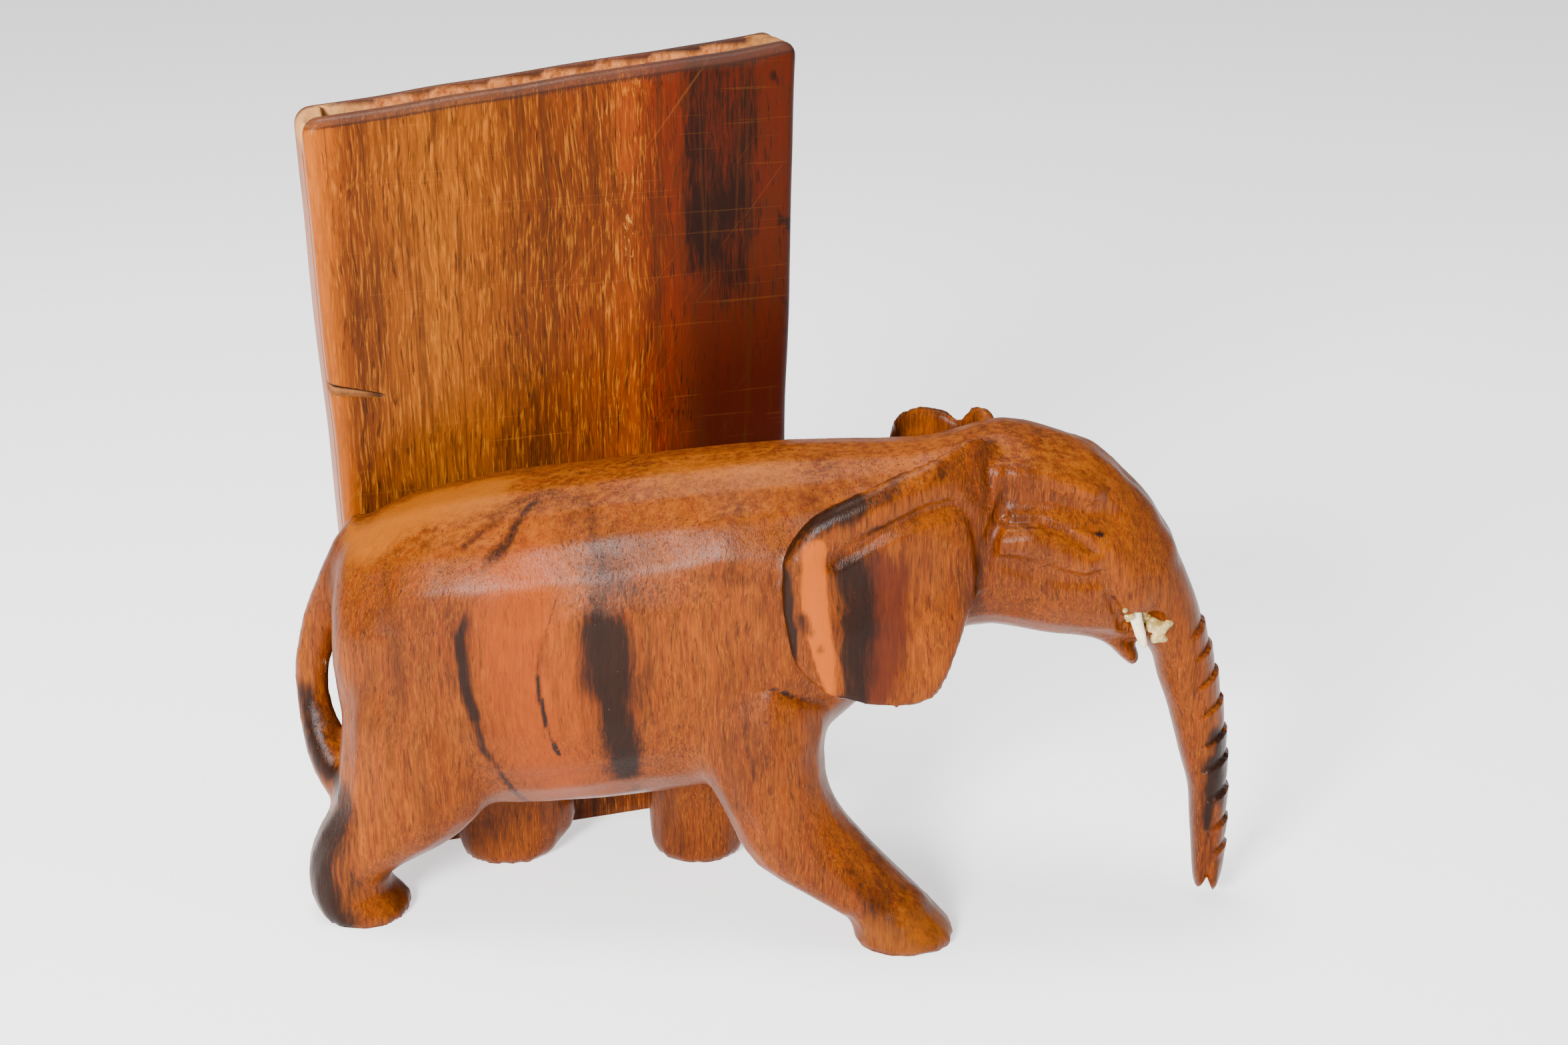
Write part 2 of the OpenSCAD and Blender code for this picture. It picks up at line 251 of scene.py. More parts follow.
    def finish(
        self, colour: Any, rough: Any, height: "Num | None", depth: float, sockets: dict[str, Any]
    ) -> Material:
        """Ends the material in a Principled shader.

        Args:
            colour: The base colour.
            rough: The roughness.
            height: Height of the fine relief, or None.
            depth: Depth of the relief, in metres.
            sockets: Other sockets of the shader and their values.

        Returns:
            The material.
        """
        inputs = {"Base Color": self.solid(colour), "Roughness": rough, **sockets}
        shader = self.make("ShaderNodeBsdfPrincipled", {}, inputs)
        if height is not None:
            bump = self.make("ShaderNodeBump", {}, {"Strength": 1.0, "Distance": depth, "Height": height})
            self.feed(shader.inputs["Normal"], bump.outputs[0])
        out = self.make("ShaderNodeOutputMaterial", {}, {"Surface": shader.outputs[0]})
        out.is_active_output = True
        return self.material


class Num:
    """A number on a shader socket. Arithmetic on it adds Math nodes."""

    def __init__(self, graph: Graph, socket: Socket) -> None:
        """Wraps a socket of the graph."""
        self.graph = graph
        self.socket = socket

    def _math(self, operation: str, *values: Any, clamp: bool = False) -> "Num":
        """Adds one Math node.

        Args:
            operation: The node's operation.
            values: Its inputs, as Num or float.
            clamp: Whether the result stays from 0 to 1.

        Returns:
            The result.
        """
        settings = {"operation": operation, "use_clamp": clamp}
        node = self.graph.make("ShaderNodeMath", settings, dict(enumerate(values)))
        return Num(self.graph, node.outputs[0])

    def __add__(self, other: Any) -> "Num":
        """self + other."""
        return self._math("ADD", self, other)

    __radd__ = __add__

    def __sub__(self, other: Any) -> "Num":
        """self - other."""
        return self._math("SUBTRACT", self, other)

    def __rsub__(self, other: Any) -> "Num":
        """other - self."""
        return self._math("SUBTRACT", other, self)

    def __mul__(self, other: Any) -> "Num":
        """self * other."""
        return self._math("MULTIPLY", self, other)

    __rmul__ = __mul__

    def __truediv__(self, other: Any) -> "Num":
        """self / other."""
        return self._math("DIVIDE", self, other)

    def __abs__(self) -> "Num":
        """The number without its sign."""
        return self._math("ABSOLUTE", self)

    def clamped(self) -> "Num":
        """The number kept from 0 to 1."""
        return self._math("ADD", self, 0.0, clamp=True)

    def step(self, low: float, high: float) -> "Num":
        """A smooth step from 0 at low to 1 at high. With low above high it falls."""
        node = self.graph.make(
            "ShaderNodeMapRange",
            {"interpolation_type": "SMOOTHSTEP", "clamp": True},
            {"Value": self, "From Min": low, "From Max": high, "To Min": 0.0, "To Max": 1.0},
        )
        return Num(self.graph, node.outputs["Result"])

    def window(self, middle: Any, half: float, soft: float) -> "Num":
        """1 within half of the middle, falling to 0 over soft."""
        return abs(self - middle).step(half + soft, half)


# ---------------------------------------------------------------- finishes


@dataclass(frozen=True)
class Grain:
    """Upright grain that every wood here has: fibres, pores and blotches.

    Attributes:
        across: Fibres in a metre across the grain.
        along: Fibres in a metre along the grain.
        pore_share: Noise level above which a pore shows. Lower gives more pores.
        blotch: Blotches in a metre.
    """

    across: float = 1350.0
    along: float = 115.0
    pore_share: float = 0.60
    blotch: float = 34.0

    def fibres(self, graph: Graph, point: Socket) -> Num:
        """Soft fibres, from 0 to 1."""
        return graph.noise(point, (self.across, self.across, self.along), 4.0, 0.6).step(0.28, 0.72)

    def fine(self, graph: Graph, point: Socket) -> Num:
        """Hair-thin fibres, from 0 to 1."""
        scale = (self.across * 2.9, self.across * 2.9, self.along * 2.6)
        return graph.noise(point, scale, 3.0, 0.6).step(0.3, 0.7)

    def pores(self, graph: Graph, point: Socket) -> Num:
        """Short dark dashes along the grain, 1 in a dash."""
        scale = (self.across * 1.5, self.across * 1.5, self.along * 1.7)
        return graph.noise(point, scale, 2.0, 0.5).step(self.pore_share, self.pore_share + 0.09)

    def blotches(self, graph: Graph, point: Socket) -> Num:
        """Broad light and dark patches, from 0 to 1."""
        return graph.noise(point, (self.blotch, self.blotch, self.blotch * 0.5), 3.0, 0.6).step(0.3, 0.7)


@dataclass(frozen=True)
class CarvedWood:
    """Varnished hardwood of the elephant, with dark heartwood where the masks are painted.

    Attributes:
        turn: Turn of the elephant in the part's frame, in radians.
        caramel: Smooth pale wood.
        amber: Common colour of the flanks.
        russet: Redder patches, and the painted shade in the hollows, under the belly, on the far legs and on
            the cheeks.
        umber: Fibres and pores.
        ebony: Heartwood bands, and the painted shade under the brow.
        ochre: Worn, yellowish end grain.
        raw: Bare wood where the surface is torn.
        honey: Sunny patches.
        blood: Red heartwood beside the dark bands.
        sapwood: Pale stripe down the ear.
        gap: Inside of a crack, and the dark lines in the folds and just above the trunk's cuts.
        dust: Specks in the varnish.
        rings: Moves the middle of the growth rings to the shader's origin, in metres.
        relief: Depth of the fine relief, in metres.
        gloss: The shader's specular level, kept low so that the wood stays saturated.
    """

    turn: float
    caramel: Colour = (0.245, 0.036, 0.0002)
    amber: Colour = (0.170, 0.0350, 0.0003)
    russet: Colour = (0.078, 0.0125, 0.0004)
    umber: Colour = (0.026, 0.0055, 0.0010)
    ebony: Colour = (0.0075, 0.0024, 0.0010)
    ochre: Colour = (0.235, 0.062, 0.002)
    raw: Colour = (0.30, 0.165, 0.085)
    honey: Colour = (0.27, 0.056, 0.0005)
    blood: Colour = (0.050, 0.0065, 0.0015)
    sapwood: Colour = (0.30, 0.058, 0.0003)
    gap: Colour = (0.012, 0.005, 0.003)
    dust: Colour = (0.60, 0.36, 0.16)
    rings: Point = (0.045, 0.055, 0.0)
    relief: float = 0.00006
    gloss: float = 0.10
    grain: Grain = Grain()

    def material(self) -> Material:
        """Builds the material."""
        graph = Graph("elephant_wood")
        point = graph.turned(graph.place(), self.turn, (0.0, 0.0, 0.0))
        grained = graph.wavy(point, 60.0, 0.0022)
        fibres = self.grain.fibres(graph, grained)
        fine = self.grain.fine(graph, grained)
        pores = self.grain.pores(graph, grained)
        blotches = self.grain.blotches(graph, point)
        ends = graph.painted("end_grain")
        smooth = graph.painted("smooth")
        wander = graph.noise(point, (14.0, 14.0, 5.0), 2.0, 0.5)
        rings = graph.make(
            "ShaderNodeTexWave",
            {"wave_type": "RINGS", "rings_direction": "Z", "wave_profile": "SIN"},
            {
                "Vector": graph.moved(point, self.rings),
                "Scale": 62.0,
                "Distortion": 5.0,
                "Detail": 2.0,
                "Detail Scale": 1.2,
                "Detail Roughness": 0.5,
            },
        )
        ring = Num(graph, rings.outputs["Fac"])

        colour = graph.mix((blotches * 0.9 + wander * 0.3 - 0.18).clamped(), self.amber, self.russet)
        sunny = graph.noise(point, (24.0, 24.0, 9.0), 3.0, 0.6).step(0.48, 0.68)
        colour = graph.mix(sunny * (0.55 - smooth * 0.4), colour, self.honey)
        colour = graph.mix(ring.step(0.45, 0.95) * 0.34 * (1.0 - smooth * 0.6), colour, self.caramel)
        colour = graph.mix(smooth * 0.85, colour, self.caramel)
        colour = graph.mix(ring.step(0.72, 0.98) * (0.25 - smooth * 0.18), colour, self.umber)
        # Painted shade: russet mixed in the hollows, under the belly, on the far legs and on the cheeks.
        painted_shade = graph.painted("painted_shade")
        colour = graph.mix(painted_shade * 0.55, colour, self.russet)
        along = (0.62 - smooth * 0.44) * (1.0 - ends * 0.6)
        colour = graph.mix(fibres * along, colour, self.umber)
        colour = graph.mix(fine.step(0.55, 0.95) * (0.40 - smooth * 0.28), colour, self.ochre)
        smoke = graph.noise(graph.wavy(point, 30.0, 0.012), (70.0, 70.0, 11.0), 4.0, 0.6).step(0.50, 0.70)
        colour = graph.mix(smoke * (0.55 - smooth * 0.38), colour, self.umber)
        mottle = graph.noise(point, (520.0, 800.0, 300.0), 4.0, 0.65)
        colour = graph.mix(mottle.step(0.44, 0.64) * ends * 0.50, colour, self.ochre)
        colour = graph.mix(mottle.step(0.49, 0.34) * ends * 0.42, colour, self.umber)
        colour = graph.mix(pores * (0.62 - smooth * 0.5), colour, self.umber)
        worn = graph.painted("worn")
        colour = graph.mix((worn + mottle * 0.6 - 0.42).step(0.0, 0.5) * worn, colour, self.ochre)
        torn = graph.painted("torn")
        chips = graph.noise(point, (900.0, 900.0, 500.0), 4.0, 0.7)
        colour = graph.mix((torn + chips - 0.9).step(0.0, 0.3), colour, self.raw)
        ragged = (fibres - 0.5) * 0.26 + (fine - 0.5) * 0.14 + (blotches - 0.5) * 0.22
        red = graph.painted("red")
        reddened = (red + ragged * 0.7).step(0.15, 0.8) * red.step(0.02, 0.3)
        colour = graph.mix(reddened * 0.85, colour, self.blood)
        pale = graph.painted("pale")
        colour = graph.mix((pale + ragged * 0.6).step(0.2, 0.7) * 0.92, colour, self.sapwood)
        dark = graph.painted("dark")
        shade = (dark * 1.2 + ragged).step(0.05, 1.0) * dark.step(0.02, 0.22)
        colour = graph.mix(shade * 0.96, colour, self.ebony)
        crack = graph.painted("crack")
        colour = graph.mix((crack + (chips - 0.5) * 0.5).step(0.3, 0.75), colour, self.gap)

        specks = graph.noise(point, (1900.0, 1900.0, 1900.0), 1.0, 0.5).step(0.80, 0.84)
        colour = graph.mix(specks * 0.25, colour, self.dust)
        sheen = graph.noise(point, (120.0, 120.0, 60.0), 3.0, 0.6)
        rough = 0.23 + sheen * 0.12 + fine * 0.05 + torn * 0.4 + ends * 0.06
        relief = fibres * 0.30 + fine * 0.30 + sheen * 0.5 - pores * 0.55
        relief = relief + mottle * ends * 0.5 + chips * torn * 14.0
        return graph.finish(colour, rough, relief, self.relief, {"Specular IOR Level": self.gloss})


@dataclass(frozen=True)
class BoardWood:
    """Varnished hardwood of a leaf, from golden at its left to dark red at its right.

    Attributes:
        name: The material's name.
        left: x of the board's left edge, in metres.
        width: Width of the board, in metres.
        scratched: Whether the varnish has scratches and chips.
    """

    name: str
    left: float
    width: float
    scratched: bool
    grain: Grain = Grain(across=1250.0, along=95.0, pore_share=0.60, blotch=30.0)

    GOLD = (0.215, 0.053, 0.001)
    AMBER = (0.155, 0.034, 0.001)
    BROWN = (0.095, 0.018, 0.001)
    MAHOGANY = (0.048, 0.0052, 0.001)
    WINE = (0.030, 0.0030, 0.0010)
    UMBER = (0.032, 0.0075, 0.0015)
    EBONY = (0.0075, 0.0024, 0.0010)
    RAW = (0.52, 0.17, 0.045)
    CREAM = (0.50, 0.235, 0.075)
    MAUVE = (0.058, 0.026, 0.018)
    STRAW = (0.30, 0.068, 0.0006)
    HONEY = (0.25, 0.050, 0.0006)
    COPPER = (0.15, 0.025, 0.001)
    FLAME = (0.22, 0.034, 0.001)
    CHERRY = (0.12, 0.011, 0.0006)
    GARNET = (0.060, 0.0055, 0.0006)
    SPARK = (0.38, 0.115, 0.004)
    SCRATCH = (0.40, 0.14, 0.025)
    CHIP = (0.42, 0.17, 0.03)
    PEACH = (0.29, 0.062, 0.0006)
    TAN = (0.22, 0.052, 0.010)
    BUFF = (0.24, 0.115, 0.032)
    SHADOW = (0.12, 0.036, 0.012)
    GAP = (0.014, 0.005, 0.002)
    RELIEF = 0.00003
    GLOSS = 0.07

    def material(self) -> Material:
        """Builds the material."""
        graph = Graph(self.name)
        point = graph.place()
        x, y, z = graph.axes(point)
        share = (x - self.left) / self.width
        waver = graph.noise(point, (60.0, 60.0, 7.0), 3.0, 0.55) - 0.5
        broad = graph.noise(point, (22.0, 22.0, 4.5), 2.0, 0.5) - 0.5
        zone = share + waver * 0.07 + broad * 0.07
        colour = graph.ramp(
            zone,
            (
                (0.00, self.STRAW),
                (0.055, self.HONEY),
                (0.095, self.BROWN),
                (0.14, self.AMBER),
                (0.24, self.GOLD),
                (0.34, self.AMBER),
                (0.43, self.BROWN),
                (0.58, self.COPPER),
                (0.645, self.FLAME),
                (0.70, self.CHERRY),
                (0.79, self.MAHOGANY),
                (1.00, self.GARNET),
            ),
        )
        grained = graph.wavy(point, 48.0, 0.0034)
        fibres = self.grain.fibres(graph, grained)
        fine = self.grain.fine(graph, grained)
        pores = self.grain.pores(graph, grained)
        blotches = self.grain.blotches(graph, point)
        colour = graph.mix(blotches.step(0.35, 0.9) * 0.42, colour, self.UMBER)
        colour = graph.mix(fibres * 0.60, colour, self.UMBER)
        golden = graph.noise(grained, (2300.0, 2300.0, 150.0), 3.0, 0.6).step(0.50, 0.68)
        column = (x + waver * 0.02).window(-0.0155, 0.003, 0.008)
        bright = share.step(0.80, 0.50) * 0.42 + column * 0.35
        colour = graph.mix(golden * bright, colour, self.SPARK)
        colour = graph.mix(pores * 0.6, colour, self.EBONY)

        # A near-black streak runs down from the top, and the lower right corner is dark wine red.
        streak = (x + waver * 0.014).window(0.0066, 0.0050, 0.0070) * z.step(0.104, 0.150)
        lower = (x + broad * 0.02).step(-0.002, 0.008) * z.step(0.150, 0.100)
        tangle = (fibres - 0.5) * 0.4 + (fine - 0.5) * 0.3 + (blotches - 0.5) * 1.0
        colour = graph.mix((lower * 0.9 + tangle * 0.3).step(0.1, 0.9) * lower * 0.85, colour, self.WINE)
        blackened = (streak + tangle).step(0.25, 0.95) * streak.step(0.0, 0.5)
        colour = graph.mix(blackened * 0.93, colour, self.EBONY)
        spots = graph.noise(point, (170.0, 170.0, 110.0), 2.0, 0.5).step(0.63, 0.72)
        colour = graph.mix(spots * share.step(0.68, 0.80) * z.step(0.09, 0.13) * 0.8, colour, self.EBONY)
        freckles = graph.noise(grained, (420.0, 420.0, 90.0), 3.0, 0.6).step(0.58, 0.68)
        colour = graph.mix(freckles * 0.5, colour, self.UMBER)

        # Thin dark growth lines.
        lines = graph.noise(point, (260.0, 90.0, 3.2), 2.0, 0.45).window(0.5, 0.006, 0.014)
        colour = graph.mix(lines * 0.55, colour, self.UMBER)

        # Fine scratches in the varnish, both ways, and chipped golden flecks.
        cross = graph.noise(point, (26.0, 26.0, 1500.0), 2.0, 0.5).step(0.665, 0.69)
        leaning = {"Vector": point, "Angle": 0.9}
        tilted = graph.make("ShaderNodeVectorRotate", {"rotation_type": "Y_AXIS"}, leaning).outputs[0]
        slant = graph.noise(tilted, (18.0, 18.0, 1700.0), 2.0, 0.5).step(0.70, 0.72)
        band = z.window(0.094, 0.004, 0.010) * x.step(-0.052, -0.035) * x.step(0.006, -0.004)
        scratch = (cross * 0.30 + slant * 0.45 + cross * band * 0.7).clamped()
        if self.scratched:
            colour = graph.mix(scratch * 0.16, colour, self.SCRATCH)
            flecks = graph.noise(point, (1500.0, 1500.0, 600.0), 4.0, 0.75)
            chipped = x.window(-0.0150, 0.0006, 0.0034) * z.window(0.141, 0.003, 0.013)
            colour = graph.mix((chipped * 0.70 + flecks).step(1.20, 1.38) * 0.8, colour, self.CHIP)

        rim = graph.painted("rim")
        edge = (rim * (1.0 - rim) * 4.0 + fine * 0.4).step(0.75, 1.2)
        colour = graph.mix(edge * 0.75, colour, self.EBONY)
        colour = graph.mix(rim * (0.55 + fine * 0.2), colour, self.MAUVE)
        arris = graph.painted("arris")
        colour = graph.mix(arris * 0.4, colour, self.PEACH)
        rough = 0.27 + blotches * 0.10 + fine * 0.06 + scratch * 0.12
        relief = fibres * 0.35 + fine * 0.25 - pores * 0.6 - scratch * 0.3
        bare = graph.painted("bare")
        crumble = graph.noise(point, (420.0, 420.0, 300.0), 5.0, 0.7)
        raw = graph.mix(crumble.step(0.35, 0.62), self.TAN, self.RAW)
        raw = graph.mix(share.step(0.20, 0.04) * 0.85, raw, self.CREAM)
        raw = graph.mix(share.step(0.86, 0.97) * 0.7, raw, self.BUFF)
        raw = graph.mix(z.step(0.160, 0.110) * 0.8, raw, self.SHADOW)
        colour = graph.mix(bare, colour, raw)
        rough = rough + bare * 0.4
        relief = relief + crumble * bare * 16.0
        crack = graph.painted("crack")
        colour = graph.mix((crack * 1.4).clamped(), colour, self.GAP)
        return graph.finish(colour, rough, relief, self.RELIEF, {"Specular IOR Level": self.GLOSS})


@dataclass(frozen=True)
class Bone:
    """Cream tusk with faint growth lines and a chalky broken end."""

    cream: Colour = (0.80, 0.69, 0.47)
    stain: Colour = (0.46, 0.31, 0.13)

    def material(self) -> Material:
        """Builds the material."""
        graph = Graph("tusk")
        point = graph.place()
        lines = graph.noise(point, (1500.0, 1500.0, 180.0), 3.0, 0.6)
        dirt = graph.noise(point, (380.0, 380.0, 380.0), 4.0, 0.65)
        colour = graph.mix(lines.step(0.4, 0.7) * 0.3, self.cream, (0.62, 0.50, 0.30))
        colour = graph.mix(dirt.step(0.5, 0.72) * 0.6, colour, self.stain)
        sockets = {
            "Subsurface Weight": 0.15,
            "Subsurface Radius": (0.001, 0.0006, 0.0003),
            "Coat Weight": 0.1,
        }
        return graph.finish(colour, 0.34 + dirt * 0.25, lines + dirt, 0.00008, sockets)


@dataclass(frozen=True)
class OldGlue:
    """Hardened yellow glue with whitish, crazed patches."""

    amber: Colour = (0.44, 0.29, 0.075)
    olive: Colour = (0.25, 0.165, 0.042)
    chalk: Colour = (0.70, 0.59, 0.36)

    def material(self) -> Material:
        """Builds the material."""
        graph = Graph("glue")
        point = graph.place()
        cloud = graph.noise(point, (520.0, 520.0, 520.0), 4.0, 0.65)
        craze = graph.noise(point, (1400.0, 1400.0, 1400.0), 3.0, 0.7)
        colour = graph.mix(cloud.step(0.4, 0.62), self.olive, self.amber)
        colour = graph.mix((cloud * 0.5 + craze * 0.5).step(0.56, 0.66), colour, self.chalk)
        sockets = {
            "Subsurface Weight": 0.25,
            "Subsurface Radius": (0.002, 0.0014, 0.0006),
            "Coat Weight": 0.5,
            "Coat Roughness": 0.1,
        }
        return graph.finish(colour, 0.22 + craze * 0.2, craze + cloud, 0.00014, sockets)


@dataclass(frozen=True)
class PaleDowel:
    """Plain pale dowel wood with its grain along y."""

    def material(self) -> Material:
        """Builds the material."""
        graph = Graph("dowel_wood")
        point = graph.place()
        fibres = graph.noise(point, (900.0, 60.0, 900.0), 4.0, 0.6)
        colour = graph.mix(fibres.step(0.35, 0.7), (0.66, 0.46, 0.25), (0.46, 0.28, 0.13))
        return graph.finish(colour, 0.55 + fibres * 0.1, fibres, 0.0001, {})


@dataclass(frozen=True)
class StudioPaper:
    """White paper that the object stands on."""

    def material(self) -> Material:
        """Builds the material."""
        graph = Graph("studio_paper")
        tooth = graph.noise(graph.place(), (300.0, 300.0, 300.0), 2.0, 0.5)
        colour = graph.mix(tooth, (0.90, 0.90, 0.90), (0.94, 0.94, 0.94))
        sockets = {
            "Specular IOR Level": 0.1,
            "Emission Color": (1.0, 1.0, 1.0, 1.0),
            "Emission Strength": 0.95,
        }
        return graph.finish(colour, 0.8, None, 0.0, sockets)


# ---------------------------------------------------------------- the elephant's own frame


@dataclass(frozen=True)
class Stance:
    """Where the elephant stands beside the board.

    Attributes:
        turn: Turn of the elephant away from the board, in radians.
        hip: The middle of the hip's flat in the elephant's frame, in millimetres.
        hip_place: The same point in the part's frame, in metres.
    """

    turn: float
    hip: tuple[float, float]
    hip_place: tuple[float, float]

    def _matrix(self) -> np.ndarray:
        """Turn from the elephant's frame to the part's."""
        c, s = math.cos(self.turn), math.sin(self.turn)
        return np.array([[c, s, 0.0], [-s, c, 0.0], [0.0, 0.0, 1.0]])

    def to_part(self, points: np.ndarray) -> np.ndarray:
        """Points in the elephant's frame, in millimetres, as metres in the part's frame."""
        hip = np.array([*self.hip, 0.0])
        return (np.asarray(points, float) - hip) @ self._matrix().T * MM + np.array([*self.hip_place, 0.0])

    def to_elephant(self, points: np.ndarray) -> np.ndarray:
        """Points in the part's frame, in metres, as millimetres in the elephant's frame."""
        local = (np.asarray(points, float) - np.array([*self.hip_place, 0.0])) / MM
        return local @ self._matrix() + np.array([*self.hip, 0.0])

    def turn_to_elephant(self, vectors: np.ndarray) -> np.ndarray:
        """Directions in the part's frame as directions in the elephant's."""
        return vectors @ self._matrix()


class Profile(Enum):
    """Cross-section of a stroke."""

    ROUND = "round"
    SHARP = "sharp"
    FLAT = "flat"


class Side(Enum):
    """Which side of the elephant a stroke is on."""

    NEAR = "near"
    FAR = "far"
    BOTH = "both"


@dataclass(frozen=True)
class Stroke:
    """One pass along a path in the elephant's frame, in millimetres.

    Attributes:
        path: Points that the pass goes through.
        radius: Reach of the pass.
        lift: Height that it raises, or cuts if negative. As paint, the strength of the mask.
        profile: Its cross-section.
        side: Which side it is on. A stroke on both sides is mirrored.
    """

    path: tuple[Point, ...]
    radius: float
    lift: float
    profile: Profile = Profile.ROUND
    side: Side = Side.NEAR

    def _share(self, distance: np.ndarray) -> np.ndarray:
        """Share of the lift at each distance from the path.

        Args:
            distance: Distances, in millimetres.

        Returns:
            Shares from 0 to 1.
        """
        t = np.clip(distance / self.radius, 0.0, 1.0)
        if self.profile is Profile.SHARP:
            return 1.0 - t
        if self.profile is Profile.FLAT:
            u = np.clip((1.0 - t) / 0.45, 0.0, 1.0)
            return u * u * (3.0 - 2.0 * u)
        return (1.0 - t * t) ** 2

    def weights(self, points: np.ndarray) -> np.ndarray:
        """Share of the lift at each point.

        Args:
            points: Places in the elephant's frame.

        Returns:
            Shares from 0 to 1.
        """
        best = self._share(self._distance(points))
        if self.side is Side.BOTH:
            mirrored = points * np.array([1.0, -1.0, 1.0])
            best = np.maximum(best, self._share(self._distance(mirrored)))
        return best

    def _distance(self, points: np.ndarray) -> np.ndarray:
        """Distance from each point to the path.

        Args:
            points: Places in the elephant's frame.

        Returns:
            Distances, in millimetres.
        """
        stops = np.array(self.path, float)
        if len(stops) == 1:
            return np.linalg.norm(points - stops[0], axis=1)
        best = np.full(len(points), np.inf)
        for start, end in zip(stops[:-1], stops[1:]):
            line = end - start
            share = np.clip(((points - start) @ line) / (line @ line), 0.0, 1.0)
            best = np.minimum(best, np.linalg.norm(points - start - share[:, None] * line, axis=1))
        return best


def smoothed_step(values: np.ndarray, low: float, high: float) -> np.ndarray:
    """Smooth step from 0 at low to 1 at high for each value."""
    t = np.clip((values - low) / (high - low), 0.0, 1.0)
    return t * t * (3.0 - 2.0 * t)


def noise_at(points: np.ndarray, scale: float, seed: float = 0.0) -> np.ndarray:
    """Smooth noise from about -1 to 1 at each point, with cells of 1 / scale."""
    return np.array([noise.noise(Vector(p) * scale + Vector((seed, seed * 1.7, -seed))) for p in points])


def points_of(mesh: Mesh) -> np.ndarray:
    """The mesh's points, one row each.

    Args:
        mesh: The mesh.

    Returns:
        Its points, in metres.
    """
    flat = np.zeros(len(mesh.vertices) * 3)
    mesh.vertices.foreach_get("co", flat)
    return flat.reshape(-1, 3)


def put_points(mesh: Mesh, points: np.ndarray) -> None:
    """Moves the mesh's points to new places, in metres."""
    mesh.vertices.foreach_set("co", points.ravel())
    mesh.update()


def put_mask(mesh: Mesh, name: str, values: np.ndarray) -> None:
    """Stores a mask from 0 to 1 on the mesh's points."""
    layer = mesh.attributes.new(name, "FLOAT", "POINT")
    layer.data.foreach_set("value", np.clip(values, 0.0, 1.0).astype(np.float32))


class Clay:
    """A mesh's points in the elephant's frame, with the moves that shape them."""

    def __init__(self, mesh: Mesh, stance: Stance) -> None:
        """Reads the mesh's points and edges.

        Args:
            mesh: The mesh to shape.
            stance: Where the elephant stands.
        """
        self.mesh = mesh
        self.stance = stance
        self.points = stance.to_elephant(points_of(mesh))
        ends = np.zeros(len(mesh.edges) * 2, int)
        mesh.edges.foreach_get("vertices", ends)
        self.first, self.second = ends.reshape(-1, 2).T
        self.stray: np.ndarray | None = None
        self.valence = np.maximum(np.bincount(ends, minlength=len(mesh.vertices)), 1)

    def store(self) -> None:
        """Writes the points back to the mesh."""
        put_points(self.mesh, self.stance.to_part(self.points))

    def normals(self) -> np.ndarray:
        """Outward direction at each point.

        Returns:
            Directions in the elephant's frame.
        """
        self.store()
        flat = np.zeros(len(self.points) * 3, np.float32)
        self.mesh.vertex_normals.foreach_get("vector", flat)
        return self.stance.turn_to_elephant(flat.reshape(-1, 3).astype(float))

    def drift(self) -> np.ndarray:
        """Vector from each point to the mean of its neighbours.

        Returns:
            Vectors in the elephant's frame, in millimetres.
        """
        total = np.empty_like(self.points)
        for axis in range(3):
            value = self.points[:, axis]
            total[:, axis] = np.bincount(self.first, value[self.second], len(value))
            total[:, axis] += np.bincount(self.second, value[self.first], len(value))
        return total / self.valence[:, None] - self.points

    def relax(self, rounds: int, keep: float = -0.53) -> None:
        """Smooths without shrinking.

        Args:
            rounds: Pairs of passes.
            keep: The second pass's factor, which grows the shape back.
        """
        for _ in range(rounds):
            self.points += 0.5 * self.drift()
            self.points += keep * self.drift()

    def fill_creases(self, rounds: int, share: np.ndarray) -> None:
        """Fills hollow creases and leaves ridges alone.

        Args:
            rounds: Number of passes.
            share: How much each point takes part, from 0 to 1.
        """
        for _ in range(rounds):
            move = self.drift()
            outward = np.einsum("ij,ij->i", move, self.normals())
            self.points += move * (0.5 * share * (outward > 0.0))[:, None]

    def press(self, strokes: Sequence[Stroke]) -> None:
        """Raises or cuts the surface along each stroke, in order.

        Args:
            strokes: The strokes.
        """
        for stroke in strokes:
            normals = self.normals()
            share = stroke.weights(self.points) * stroke.lift
            if stroke.side is Side.NEAR:
                share = share * (normals[:, 1] < 0.45)
            self.points += normals * share[:, None]

    def paint(self, name: str, values: np.ndarray) -> None:
        """Stores a mask on the mesh's points."""
        put_mask(self.mesh, name, values)

    def mask(self, strokes: Sequence[Stroke], wander: float = 1.0) -> np.ndarray:
        """The strongest of the strokes at each point.

        Args:
            strokes: The strokes.
            wander: How far their edges stray, in millimetres.

        Returns:
            One value for each point.
        """
        if self.stray is None:
            squeezed = self.points * np.array([1.0, 1.0, 0.45])
            self.stray = np.stack([noise_at(squeezed, 0.16, 40.0 + axis) for axis in range(3)], axis=1)
        places = self.points + self.stray * wander * 2.0
        values = np.zeros(len(self.points))
        for stroke in strokes:
            values = np.maximum(values, stroke.weights(places) * stroke.lift)
        return values


# ---------------------------------------------------------------- making pieces


def new_object(name: str, mesh: Mesh) -> Thing:
    """Links a mesh to the scene as an object.

    Args:
        name: The object's name.
        mesh: Its mesh.

    Returns:
        The object.
    """
    thing = bpy.data.objects.new(name, mesh)
    bpy.context.scene.collection.objects.link(thing)
    return thing


def everything(shape: Shape) -> list[Any]:
    """All points, edges and faces of the shape."""
    return shape.verts[:] + shape.edges[:] + shape.faces[:]


def bevelled(shape: Shape, edges: list[bmesh.types.BMEdge], radius: float, segments: int) -> None:
    """Rounds the edges of the shape to the radius."""
    settings = {"offset_type": "OFFSET", "affect": "EDGES", "profile": 0.5, "material": -1}
    bmesh.ops.bevel(shape, geom=edges, offset=radius, segments=segments, **settings)


